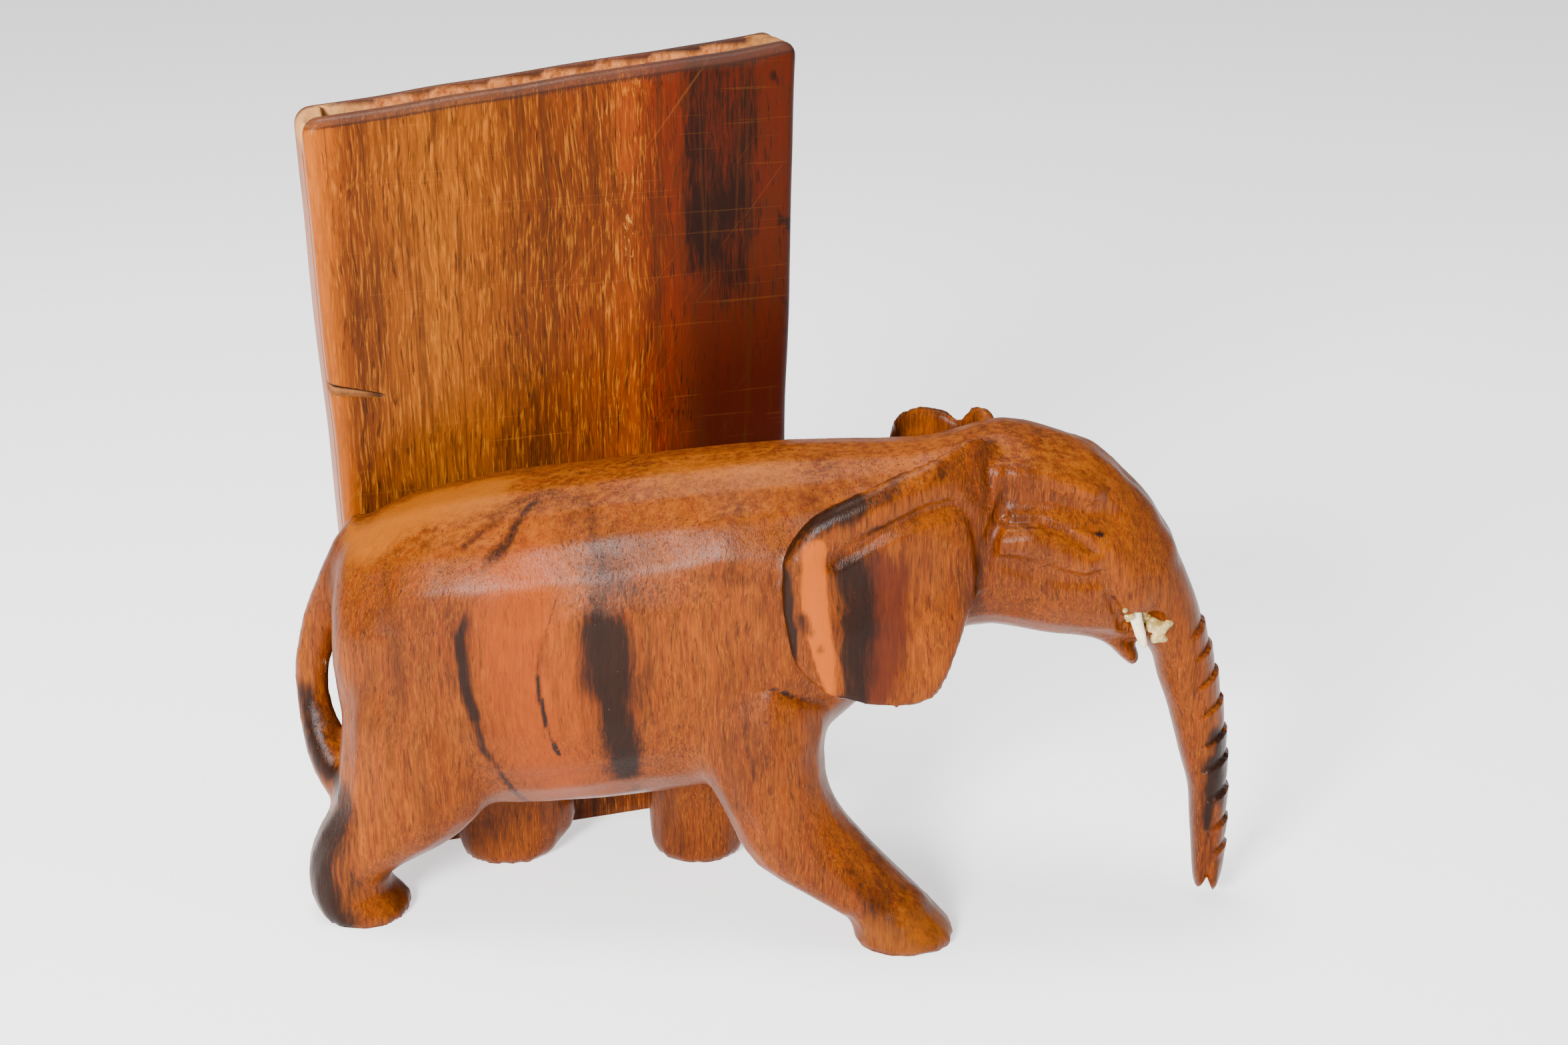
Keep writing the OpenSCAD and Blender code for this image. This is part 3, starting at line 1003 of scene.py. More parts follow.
def ordered(shape: Shape) -> Shape:
    """Sorts a shape's parts by place, because a bevel leaves them in an order that changes between runs.

    Args:
        shape: The shape.

    Returns:
        The same shape.
    """
    for rank, vertex in enumerate(sorted(shape.verts, key=lambda vertex: tuple(vertex.co))):
        vertex.index = rank
    shape.verts.sort()
    for group in (shape.edges, shape.faces):
        for rank, part in enumerate(sorted(group, key=lambda part: sorted(v.index for v in part.verts))):
            part.index = rank
        group.sort()
    return shape


def mesh_of(name: str, shape: Shape) -> Mesh:
    """Turns a bmesh into a mesh and frees it.

    Args:
        name: The mesh's name.
        shape: The bmesh.

    Returns:
        The mesh, with its faces outwards.
    """
    bmesh.ops.recalc_face_normals(shape, faces=shape.faces[:])
    mesh = bpy.data.meshes.new(name)
    shape.to_mesh(mesh)
    shape.free()
    return mesh


def applied(thing: Thing) -> Mesh:
    """Applies an object's modifiers and removes the object.

    Args:
        thing: The object.

    Returns:
        The finished mesh.
    """
    bpy.context.view_layer.update()
    evaluated = thing.evaluated_get(bpy.context.evaluated_depsgraph_get())
    mesh = bpy.data.meshes.new_from_object(evaluated)
    bpy.data.objects.remove(thing)
    return mesh


def remeshed(mesh: Mesh, voxel: float) -> Mesh:
    """A voxel remesh of the mesh.

    Args:
        mesh: A closed mesh.
        voxel: Size of a voxel, in metres.

    Returns:
        A mesh of even quads.
    """
    thing = new_object("clay", mesh)
    modifier = thing.modifiers.new("remesh", "REMESH")
    modifier.mode = "VOXEL"
    modifier.voxel_size = voxel
    return applied(thing)


def cad_copy(node: str) -> Mesh:
    """A merged copy of a CAD node's mesh.

    Args:
        node: The node's name.

    Returns:
        The copy.
    """
    shape = bmesh.new()
    shape.from_mesh(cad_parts[node].data)
    bmesh.ops.remove_doubles(shape, verts=shape.verts[:], dist=1e-6)
    return mesh_of(node + "_copy", shape)


def seat(thing: Thing, material: Material, node: str) -> None:
    """Dresses a piece and ties it to the CAD part.

    Args:
        thing: The finished piece.
        material: Its material.
        node: The CAD node that it stands for.
    """
    mesh = thing.data
    mesh.materials.clear()
    mesh.materials.append(material)
    mesh.polygons.foreach_set("use_smooth", [True] * len(mesh.polygons))
    mesh.update()
    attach(thing, ROOT)
    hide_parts(node)
    log.info("%s: %d faces, for %s", thing.name, len(mesh.polygons), node)


# ---------------------------------------------------------------- the elephant


@dataclass
class Elephant:
    """The carved elephant.

    Attributes:
        stance: Where it stands.
        voxel: Size of the clay's cells, in metres.
        front_face: y of the board's front face, in metres.
        trunk_cuts: Height of each cut's front end and its reach back along the trunk.
    """

    stance: Stance
    front_face: float
    voxel: float = 0.00102
    trunk_cuts: tuple[tuple[float, float], ...] = (
        (68.3, 3.4),
        (63.1, 3.8),
        (57.0, 4.6),
        (50.4, 5.4),
        (43.1, 6.0),
        (37.0, 6.4),
        (29.1, 5.2),
        (21.6, 4.0),
        (15.1, 3.4),
    )
    trunk_front: tuple[tuple[float, float], ...] = (
        (2.5, 100.8),
        (10.0, 102.4),
        (18.0, 102.5),
        (27.0, 102.2),
        (37.0, 101.4),
        (47.0, 100.0),
        (56.0, 98.0),
        (65.0, 95.3),
        (75.0, 91.5),
    )
    piece: Thing | None = field(default=None, init=False)
    grooves: np.ndarray | None = field(default=None, init=False)

    def build(self) -> None:
        """Carves, paints and seats the elephant."""
        mesh = remeshed(cad_copy("elephant"), self.voxel)
        self._refine(mesh)
        clay = Clay(mesh, self.stance)
        clay.relax(3)
        self._fill(clay)
        clay.relax(3)
        self._hollow(clay)
        clay.press(self._head_strokes())
        clay.press(self._ear_strokes())
        clay.press(self._body_strokes())
        self._cut_trunk(clay)
        self._split_tip(clay)
        self._roughen(clay)
        self._flatten(clay)
        clay.store()
        self._paint(clay)
        self.piece = new_object("carved_elephant", mesh)
        seat(self.piece, CarvedWood(self.stance.turn).material(), "elephant")

    def _refine(self, mesh: Mesh) -> None:
        """Halves the cells of the head and the trunk, where the fine cuts are.

        Args:
            mesh: The mesh to refine.
        """
        shape = bmesh.new()
        shape.from_mesh(mesh)
        chosen = []
        for edge in shape.edges:
            middle = (edge.verts[0].co + edge.verts[1].co) / 2
            x, y, z = self.stance.to_elephant(np.array([middle]))[0]
            eye = 48.0 < x < 78.0 and 78.0 < z < 98.0 and abs(y) > 8.0
            mouth = 72.0 < x < 90.0 and 56.0 < z < 80.0
            trunk = x > 92.0 and z < 62.0
            if eye or mouth or trunk:
                chosen.append(edge)
        bmesh.ops.subdivide_edges(shape, edges=chosen, cuts=1, use_grid_fill=True)
        bmesh.ops.triangulate(shape, faces=[f for f in shape.faces if len(f.verts) > 4])
        shape.to_mesh(mesh)
        shape.free()

    def _fill(self, clay: Clay) -> None:
        """Melts the legs into the body, and leaves the ears and the mouth sharp.

        Args:
            clay: The shape so far.
        """
        x, y, z = clay.points.T
        legs = smoothed_step(z, 62.0, 52.0) * smoothed_step(x, 40.0, 30.0)
        rump = smoothed_step(x, -78.0, -84.0) * smoothed_step(z, 66.0, 76.0)
        ear = Stroke(((20, -25, 80), (32, -23, 75), (30, -23, 64)), 22.0, 1.0).weights(clay.points)
        crown = smoothed_step(x, 40.0, 50.0) * smoothed_step(z, 84.0, 94.0) * 0.5
        share = np.clip(np.maximum.reduce([legs, rump, crown]) - ear * (z > 54.0), 0.0, 1.0)
        tail_gap = (x < -86.0) & (z < 66.0) & (z > 34.0)
        share[tail_gap] = 0.0
        clay.fill_creases(34, share)

    def _hollow(self, clay: Clay) -> None:
        """Carves the hollow between belly and thigh, and the waist behind the shoulder."""
        clay.press(
            (
                Stroke(((-14, -26, 52), (-13, -24, 38), (-11, -20, 30)), 10.0, -0.9, side=Side.BOTH),
                Stroke(((6, -25, 66), (3, -26, 50), (3, -27, 36)), 9.0, 0.9, side=Side.BOTH),
                Stroke(((-80, -20, 62), (-78, -22, 46)), 14.0, 0.8, side=Side.BOTH),
                Stroke(((-34, -21, 88), (-20, -21, 88)), 13.0, -0.5, side=Side.BOTH),
                Stroke(((-66, -19, 80), (-56, -21, 78)), 15.0, 0.9),
                Stroke(((-5, -20, 90), (2, -21, 84)), 13.0, 0.9, side=Side.BOTH),
                Stroke(((84, 0, 98),), 9.0, 0.9),
                Stroke(((62, 0, 112), (74, 0, 107)), 7.0, 0.5),
                Stroke(((20, -14, 104), (34, -12, 105)), 6.0, -0.8, side=Side.BOTH),
            )
        )

    @staticmethod
    def _head_strokes() -> tuple[Stroke, ...]:
        """Brow, temple, eyelids, cheek and mouth."""
        both = Side.BOTH
        return (
            Stroke(((50, -13, 105), (57, -13, 104.5), (62, -12.8, 103), (68, -12.4, 100)),
                   4.2, 1.5, side=both),
            Stroke(((52, -15, 98.5), (60, -15, 98.4), (67, -14.2, 97), (73, -13, 95)), 4.6, -1.5, side=both),
            Stroke(((51, -16, 90.5), (55.5, -16, 91.2), (61, -16, 89.4), (67, -15.7, 86.4)),
                   4.6, 1.9, side=both),
            Stroke(((51, -16, 94.9), (57, -16, 95.3), (62.5, -16, 92.9), (68.5, -15.5, 88.6)),
                   1.7, -1.0, side=both),
            Stroke(((59, -16, 94.0), (65, -15.5, 93.7), (72, -13.7, 92.9)), 1.1, -0.7, Profile.SHARP, both),
            Stroke(((51, -16, 86), (57, -16.5, 83.4), (64, -16.3, 82.2), (70, -15, 82.6)),
                   3.2, -0.8, side=both),
            Stroke(((71, -14, 88), (76, -13, 82), (78, -12, 77)), 5.0, 0.8, side=both),
            Stroke(((72, -13.6, 79), (73.8, -13.2, 75.6), (75.6, -11.2, 71), (78, -7, 66.5)),
                   1.8, -1.3, side=both),
            Stroke(((78, -9, 75), (82, -8.6, 72), (85, -8, 69)), 3.4, -0.9, side=both),
            Stroke(((80, -9, 66), (84, -8, 60), (88, -7, 50)), 3.0, 0.5, side=both),
            Stroke(((69, -6, 106), (78, -5, 98), (86, -4, 87)), 6.0, 0.7, side=both),
            Stroke(((56, -11, 110), (66, -10, 107)), 4.0, 0.5, side=both),
        )

    @staticmethod
    def _ear_strokes() -> tuple[Stroke, ...]:
        """Rolled rim, inner hollow and the folds at the ear's root."""
        far = Side.FAR
        return (
            Stroke(((24, -26, 84), (33, -24, 80), (30, -25, 70)), 15.0, -1.1),
            Stroke(((9, -25, 90), (13, -25, 96), (21, -24.5, 99.5), (28, -22.5, 102.5), (36, -19.5, 105)),
                   5.6, 1.3),
            Stroke(((7.5, -26, 88), (7.5, -26.5, 78), (10.5, -26, 67), (16, -26, 60.5)), 3.6, 0.7),
            Stroke(((16, -27, 89.5), (22, -25.6, 93), (28, -23.8, 96.2), (34, -21.6, 98.8), (40, -19.2, 99.6)),
                   2.3, -1.5, Profile.SHARP),
            Stroke(((40, -19.2, 99.6), (43.6, -17.9, 96.5), (45, -17.6, 91.6), (45.6, -17.4, 86)), 1.9, -0.8),
            Stroke(((50.3, -12.6, 104.5), (50.4, -13.7, 101), (49.6, -15.1, 96)), 2.2, -0.9),
            Stroke(((49.6, -15.1, 96), (47.8, -15.8, 91.6), (46.8, -16.3, 87), (46.2, -16.8, 81)), 2.4, -1.2),
            Stroke(((46.4, -13.2, 106), (47, -13.8, 102.5), (46.6, -15, 98)), 1.2, -0.5),
            Stroke(((43.6, -15.2, 105), (43.8, -16.6, 100.8)), 1.3, -0.4),
            Stroke(((48.6, -13, 105), (48.8, -14.5, 101)), 1.4, 0.4),
            Stroke(((50, 9, 107), (50.4, 12.5, 102), (49.6, 14.5, 96), (48, 15.5, 88)), 2.6, -1.4, side=far),
            Stroke(((46, 11, 110), (43, 13.5, 108)), 3.2, 1.2, side=far),
            Stroke(((41.5, 15, 108.5), (41.5, 17, 104)), 2.0, -1.2, side=far),
            Stroke(((28, 24, 103), (33, 21, 106), (38, 18, 107)), 3.0, 0.8, side=far),
        )

    @staticmethod
    def _body_strokes() -> tuple[Stroke, ...]:
        """Cracks, the crease under the shoulder, the burl and the tail's tuft."""
        return (
            Stroke(((-43.5, -24.2, 71), (-45.4, -25, 62.6), (-45, -24.9, 57.2), (-44.1, -24.4, 51)),
                   1.1, -0.35, Profile.SHARP),
            Stroke(((2, -23, 60), (8.4, -22.5, 57.6), (14.7, -18.5, 54.3)), 1.6, -0.9, Profile.SHARP),
            Stroke(((-47, 14, 12), (-46.5, 15, 7)), 6.0, 1.8),
            Stroke(((-46, 18, 9),), 4.0, 1.2),
            Stroke(((-97, -6, 38), (-94, -9, 32), (-90, -11, 25)), 5.0, 0.5),
            Stroke(((-93.5, -8, 39), (-88.5, -12, 33), (-86, -14, 27)), 2.4, -1.1),
            Stroke(((36, -19, 10), (31, -27, 8)), 4.5, 0.6),
            Stroke(((22, -27, 9), (20, -25, 5)), 3.0, -0.6),
        )

    def _cut_trunk(self, clay: Clay) -> None:
        """Cuts the overlapping ridges across the front of the trunk.

        Args:
            clay: The shape so far.
        """
        heights = np.array([z for z, _ in self.trunk_front])
        fronts = np.array([x for _, x in self.trunk_front])
        normals = clay.normals()
        x, y, z = clay.points.T
        back = np.interp(z, heights, fronts) - x
        lift = np.zeros(len(x))
        on_trunk = smoothed_step(x, 86.0, 90.0) * smoothed_step(z, 76.0, 71.0)
        self.grooves = np.zeros(len(x))
        for top, reach in self.trunk_cuts:
            above = z - (top - 0.50 * back)
            share = smoothed_step(back, reach + 1.6, reach - 1.4)
            lip = np.where(above <= 0.0, np.exp(above / 2.2) * smoothed_step(above, 0.15, -0.35), 0.0)
            notch = np.where(above > 0.0, np.exp(-above / 1.5), 0.0)
            lift += share * (0.42 * lip - 0.60 * notch)
            groove = share * on_trunk * np.exp(-np.abs(above - 0.3) / 0.7)
            self.grooves = np.maximum(self.grooves, groove)
        clay.points += normals * (lift * on_trunk)[:, None]

    @staticmethod
    def _split_tip(clay: Clay) -> None:
        """Splits the tip of the trunk into two lobes, with a groove that leads to the notch.

        Args:
            clay: The shape so far.
        """
        clay.press(
            (
                Stroke(((98.4, -5, 7), (98.0, -5.2, 12), (97.6, -5.6, 18)), 2.0, -1.1, side=Side.BOTH),
                Stroke(((100.8, -4, 5), (100.6, -4.4, 10)), 1.8, 0.35, side=Side.BOTH),
            )
        )
        x, y, z = clay.points.T
        notch = np.clip(1.0 - np.abs(x - 98.5) / 2.0, 0.0, 1.0) * smoothed_step(x, 88.0, 90.0)
        floor = 2.6 + 4.6 * notch
        low = (x > 90.0) & (z < floor) & (notch > 0.0)
        clay.points[low, 2] = floor[low] + 0.15 * (z[low] - 2.6)

    def _roughen(self, clay: Clay) -> None:
        """Gives the skin the slight waviness of knife work, and tears the rough places.

        Args:
            clay: The shape so far.
        """
        normals = clay.normals()
        broad = noise_at(clay.points, 0.055, 3.0) * 0.42 + noise_at(clay.points, 0.13, 9.0) * 0.16
        torn = clay.mask(self._torn_strokes())
        ragged = noise_at(clay.points * np.array([1.0, 1.0, 0.4]), 0.9, 5.0) * 0.5
        clay.points += normals * (broad + ragged * torn)[:, None]

    def _flatten(self, clay: Clay) -> None:
        """Keeps the soles and the hip flat, and everything in front of the board.

        Args:
            clay: The shape so far.
        """
        points = self.stance.to_part(clay.points)
        soles = points[:, 2] < 0.55 * MM
        points[soles, 2] = 0.0
        points[:, 2] = np.maximum(points[:, 2], 0.0)
        gap = 0.02 * MM
        against = points[:, 1] > self.front_face - 0.35 * MM
        points[against, 1] = self.front_face - gap
        low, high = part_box("elephant")
        points = np.clip(points, np.array(low) + gap, np.array(high) - gap)
        points[soles, 2] = 0.0
        clay.points = self.stance.to_elephant(points)

    @staticmethod
    def _torn_strokes() -> tuple[Stroke, ...]:
        """Where the wood is rough and bare."""
        return (
            Stroke(((-95, -7, 43.5), (-91.5, -9, 40), (-88.5, -11, 35)), 3.6, 0.9),
            Stroke(((-96.2, -3, 53.5), (-95.6, -3.4, 50)), 2.2, 0.7),
            Stroke(((98.0, -5, 9), (97.4, -5.4, 14)), 1.7, 0.6),
            Stroke(((79, -9.2, 70.5), (81, -8.2, 69)), 2.6, 0.7, side=Side.BOTH),
            Stroke(((10, -22, 57.6),), 1.6, 0.6),
        )

    @staticmethod
    def _dark_strokes() -> tuple[Stroke, ...]:
        """Bands of heartwood, and painted shade in the temple's hollow under the brow."""
        flat = Profile.FLAT
        return (
            Stroke(((-46.9, -11.3, 95.1), (-51.3, -15.2, 91.3), (-54.1, -18.8, 86.6), (-58.7, -21.9, 79.2)),
                   2.4, 0.72),
            Stroke(((-58.7, -21.9, 79.2), (-61.2, -23.9, 70.4), (-61.1, -24.5, 61.9), (-59.6, -24.4, 53)),
                   2.7, 0.95),
            Stroke(((-59.6, -24.4, 53), (-57.1, -22.8, 42.3), (-54.1, -19.2, 33.1), (-50.9, -14.3, 27.3)),
                   2.0, 0.75),
            Stroke(((-60.4, -17, 87.5), (-52.8, -11, 94.3), (-43.3, -8.4, 97.2), (-35.7, -13.4, 95.5)),
                   2.8, 0.52),
            Stroke(((-35.7, -13.4, 95.5), (-32.3, -19.7, 87.8), (-31.4, -22.5, 79)), 3.2, 0.50),
            Stroke(((-50, -12, 93), (-43, -12, 95.6), (-38, -17, 91)), 8.0, 0.30),
            Stroke(((-49, -20, 86), (-51, -23, 78), (-52, -24.5, 70)), 1.0, 0.22),
            Stroke(((-33, -23.2, 80), (-32, -24.2, 72)), 4.2, 0.6),
            Stroke(((-31.4, -24.2, 72), (-30.6, -24.5, 66), (-30, -24.6, 60)), 9.6, 1.05),
            Stroke(((-30, -24.6, 60), (-29.6, -24.2, 52), (-29.2, -22.6, 45), (-28.9, -20, 38)), 6.6, 0.95),
            Stroke(((-26, -24.6, 72), (-24, -24.6, 60), (-25, -24, 50)), 9.0, 0.34),
            Stroke(((-64, -22.5, 74), (-64.5, -24, 62), (-62, -23, 48)), 6.0, 0.22),
            Stroke(((-33, -20, 84), (-29, -22, 80), (-24, -23, 80)), 6.0, 0.34),
            Stroke(((-27.5, -17, 33), (-28, -10, 27)), 2.2, 0.4),
            Stroke(((-9, -21.6, 84.6), (0, -22.2, 83), (7, -22, 83.4)), 4.4, 0.34),
            Stroke(((-3.5, -24, 67), (-2, -25.4, 50), (1.4, -26.8, 32.4)), 1.5, 0.40),
            Stroke(((9, -27, 30), (14, -28, 22), (20, -28, 15)), 1.6, 0.30),
            Stroke(((20, -26, 18), (27, -28, 9), (31, -28, 3)), 4.0, 0.34),
            Stroke(((38, -20, 8), (34, -24, 3)), 2.6, 0.35),
            Stroke(((8.2, -25, 92.5), (6.4, -26, 86), (6.4, -26.4, 79)), 3.1, 0.92, flat),
            Stroke(((6.4, -26.4, 79), (8.4, -26, 71), (11.4, -25, 64.5)), 2.3, 0.90, flat),
            Stroke(((8.2, -25, 92.5), (13, -25.5, 98), (20, -24.2, 101.5)), 5.4, 0.98),
            Stroke(((20, -24.2, 101.5), (28, -21.5, 104), (36, -18, 106.5)), 4.2, 0.62),
            Stroke(((17.5, -27, 91), (23, -25.8, 94.4), (29, -23.4, 97.4)), 2.2, 0.75),
            Stroke(((20.2, -27.2, 88), (21.4, -27, 82), (21.8, -27, 76)), 7.6, 1.05),
            Stroke(((21.8, -27, 76), (20.4, -27, 68), (19.2, -27, 60)), 5.8, 1.0),
            Stroke(((22, -27, 88), (26, -26, 90)), 4.0, 0.5),
            Stroke(((10.4, -27.4, 77), (11.4, -27, 74)), 2.2, 0.6),
            Stroke(((14, -27.4, 70.5),), 1.6, 0.5),
            Stroke(((-90, -23, 29), (-93, -22, 22), (-95, -22, 14), (-94, -23, 6), (-92, -24, 1)), 8.4, 0.95),
            Stroke(((-86, -24, 27), (-90, -24, 18), (-88, -24, 8)), 5.0, 0.55),
            Stroke(((-98, -16, 20), (-99, -15, 10)), 6.0, 0.7),
            Stroke(((-102, -4, 47), (-98.5, -7.3, 40), (-96, -11, 32.5), (-91, -19, 31)), 5.6, 0.85),
            Stroke(((-90.4, -19.7, 31.9), (-87, -21, 29)), 3.6, 0.55),
            Stroke(((99.6, -4, 46), (100, -4, 44)), 2.4, 0.55),
            Stroke(((98.5, -4.5, 42), (99.6, -4.4, 37)), 4.6, 0.90),
            Stroke(((97, -4, 62), (99, -4, 52), (101, -3, 42), (101.6, -3, 30), (102, -3, 18)), 2.8, 0.42),
            Stroke(((101, -4, 12), (100.5, -4, 5)), 2.6, 0.25),
            Stroke(((98.4, -5, 35), (99.4, -4.6, 29)), 5.8, 1.0),
            Stroke(((98.0, -5.4, 27), (97.2, -5.2, 20)), 2.2, 0.85),
            Stroke(((97.2, -5.2, 20), (97.0, -5, 12), (96.2, -4.4, 5)), 2.4, 0.62),
            Stroke(((26.5, 25, 98), (29, 24, 104), (34, 21, 107), (38, 18, 108)), 5.0, 0.75),
            Stroke(((50.4, -12, 104), (49.6, -15, 97), (47, -16.2, 89)), 1.6, 0.32),
            Stroke(((54, -10, 108.6), (64, -9.6, 106.6), (73, -9, 100.4)), 1.2, 0.20),
            # Painted shade under the brow, in the temple's hollow.
            Stroke(((52, -15, 98), (60, -15, 97.6), (70, -13.5, 95)), 4.2, 0.26),
            Stroke(((-62, 24, 80), (-64, 24, 60), (-60, 23, 36)), 2.6, 0.7),
            Stroke(((-22, 23.6, 82), (-20, 24.6, 62), (-22, 22, 40)), 4.6, 0.85, flat),
            Stroke(((30, 26, 96), (32, 28, 80), (34, 26, 66)), 4.0, 0.8, flat),
            Stroke(((76, -13, 77), (75, -12, 72)), 1.4, 0.45, side=Side.BOTH),
        )

    def _paint(self, clay: Clay) -> None:
        """Stores the masks that the wood reads.

        Args:
            clay: The finished shape.
        """
        normals = clay.normals()
        clay.paint("dark", clay.mask(self._dark_strokes()))
        clay.paint("torn", clay.mask(self._torn_strokes(), 0.4))
        # Painted shade in the hollows, under the belly, on the far legs and on the cheeks.
        clay.paint("painted_shade", self._shade(clay, normals))
        clay.paint("end_grain", smoothed_step(normals[:, 2], 0.35, 0.85))
        for name, strokes in self._patches().items():
            clay.paint(name, clay.mask(strokes))
        # The crack mask also darkens a thin line just above each of the trunk's cuts.
        clay.paint("crack", clay.mask(self._crack_strokes(), 0.15) + self.grooves * 0.62)

    @staticmethod
    def _patches() -> dict[str, tuple[Stroke, ...]]:
        """Strokes of the masks whose edges stray freely, by the mask's name."""
        flat = Profile.FLAT
        return {
            "pale": (
                Stroke(((12.2, -27, 92), (12.4, -27.6, 84), (13.6, -27.6, 74)), 3.6, 0.85, flat),
                Stroke(((13.6, -27.6, 74), (15.2, -27.4, 66), (16.4, -26.6, 60.5)), 3.0, 0.85, flat),
            ),
            "smooth": (
                Stroke(((-48, -22, 84), (-50, -24, 72), (-49, -24, 60), (-46, -22, 44), (-42, -18, 34)),
                       15.0, 0.82),
                Stroke(((-38, -23, 66), (-38, -23, 50)), 8.0, 0.6),
            ),
            "worn": (
                Stroke(((-84, -8, 86), (-72, -6, 92), (-58, -6, 95)), 12.0, 0.85),
                Stroke(((-20, -8, 101), (4, -10, 102)), 12.0, 0.55),
                Stroke(((40, -20, 3), (30, -26, 4)), 12.0, 0.6),
                Stroke(((-18, -10, 100.6),), 2.4, 1.0),
            ),
            "red": (
                Stroke(((27, -26, 86), (26, -26, 74), (24.5, -26, 62)), 9.0, 0.95),
                Stroke(((33, -22, 90), (31, -25, 72)), 5.0, 0.4),
                Stroke(((51, -16, 90.5), (61, -16, 89.4), (67, -15.7, 86.4)), 3.0, 0.35),
                Stroke(((-20, -10, 99), (4, -14, 98), (30, -12, 106)), 8.0, 0.42),
            ),
        }

    @staticmethod
    def _crack_strokes() -> tuple[Stroke, ...]:
        """Cracks in the wood, and the dark lines in the folds."""
        both = Side.BOTH
        return (
            Stroke(((-41, -22.8, 79), (-44.2, -24.5, 69.4), (-45.4, -25, 62.6), (-45, -24.9, 57.2)),
                   0.9, 0.62),
            Stroke(((-45.4, -25, 62), (-45, -24.9, 57.2), (-44.1, -24.4, 50.8), (-42, -23, 43)), 1.2, 0.95),
            Stroke(((3, -23, 59.8), (8.4, -22.5, 57.6), (14.7, -18.5, 54.3)), 1.4, 0.8),
            Stroke(((58, -16, 94.2), (63, -16, 93.9), (66, -15.4, 93.4), (72, -13.7, 92.8)),
                   1.3, 0.85, side=both),
            Stroke(((68.5, -15, 93.2), (70, -14.4, 92.6)), 1.8, 1.0, side=both),
            Stroke(((52, -16, 95.2), (57, -16, 95.3), (62.5, -16, 92.9), (68.5, -15.5, 88.6)),
                   1.2, 0.5, side=both),
            Stroke(((66, -15.6, 85.6), (69.5, -15, 85.0)), 1.6, 0.75, side=both),
            Stroke(((30, -23, 97.3), (36, -20.6, 99.3), (41, -18.8, 99.3)), 1.2, 0.6),
            Stroke(((46.4, -13.2, 106), (47, -13.8, 102.5), (46.6, -15, 97)), 1.2, 0.5),
            Stroke(((73, -13.6, 78), (73.8, -13.2, 75.6), (75.6, -11.2, 71)), 1.3, 0.7, side=both),
            Stroke(((-91.5, -13, 27), (-86, -18, 26)), 1.0, 0.4),
        )

    @staticmethod
    def _shade(clay: Clay, normals: np.ndarray) -> np.ndarray:
        """Painted shade: darker colour in the hollows, under the belly, on the inner legs and on the cheeks,
        where shade falls.

        Args:
            clay: The finished shape.
            normals: Its outward directions.

        Returns:
            The mask, from 0 to 1.
        """
        x, y, z = clay.points.T
        below = smoothed_step(normals[:, 2], 0.05, -0.6) * 0.6
        inner = smoothed_step(y, 2.0, 10.0) * smoothed_step(z, 40.0, 30.0) * 0.9
        cheek = clay.mask((Stroke(((54, -14, 98), (60, -15, 84), (70, -14, 78)),
                                  12.0, 0.75, side=Side.BOTH),))
        hollow = np.einsum("ij,ij->i", clay.drift(), normals)
        crease = smoothed_step(hollow, 0.010, 0.075) * (z < 108.0)
        return np.maximum.reduce([below, inner, cheek, crease])

    def surface(self) -> BVHTree:
        """The carved surface, for pieces that sit on it."""
        return BVHTree.FromObject(self.piece, bpy.context.evaluated_depsgraph_get())


# ---------------------------------------------------------------- tusks and glue


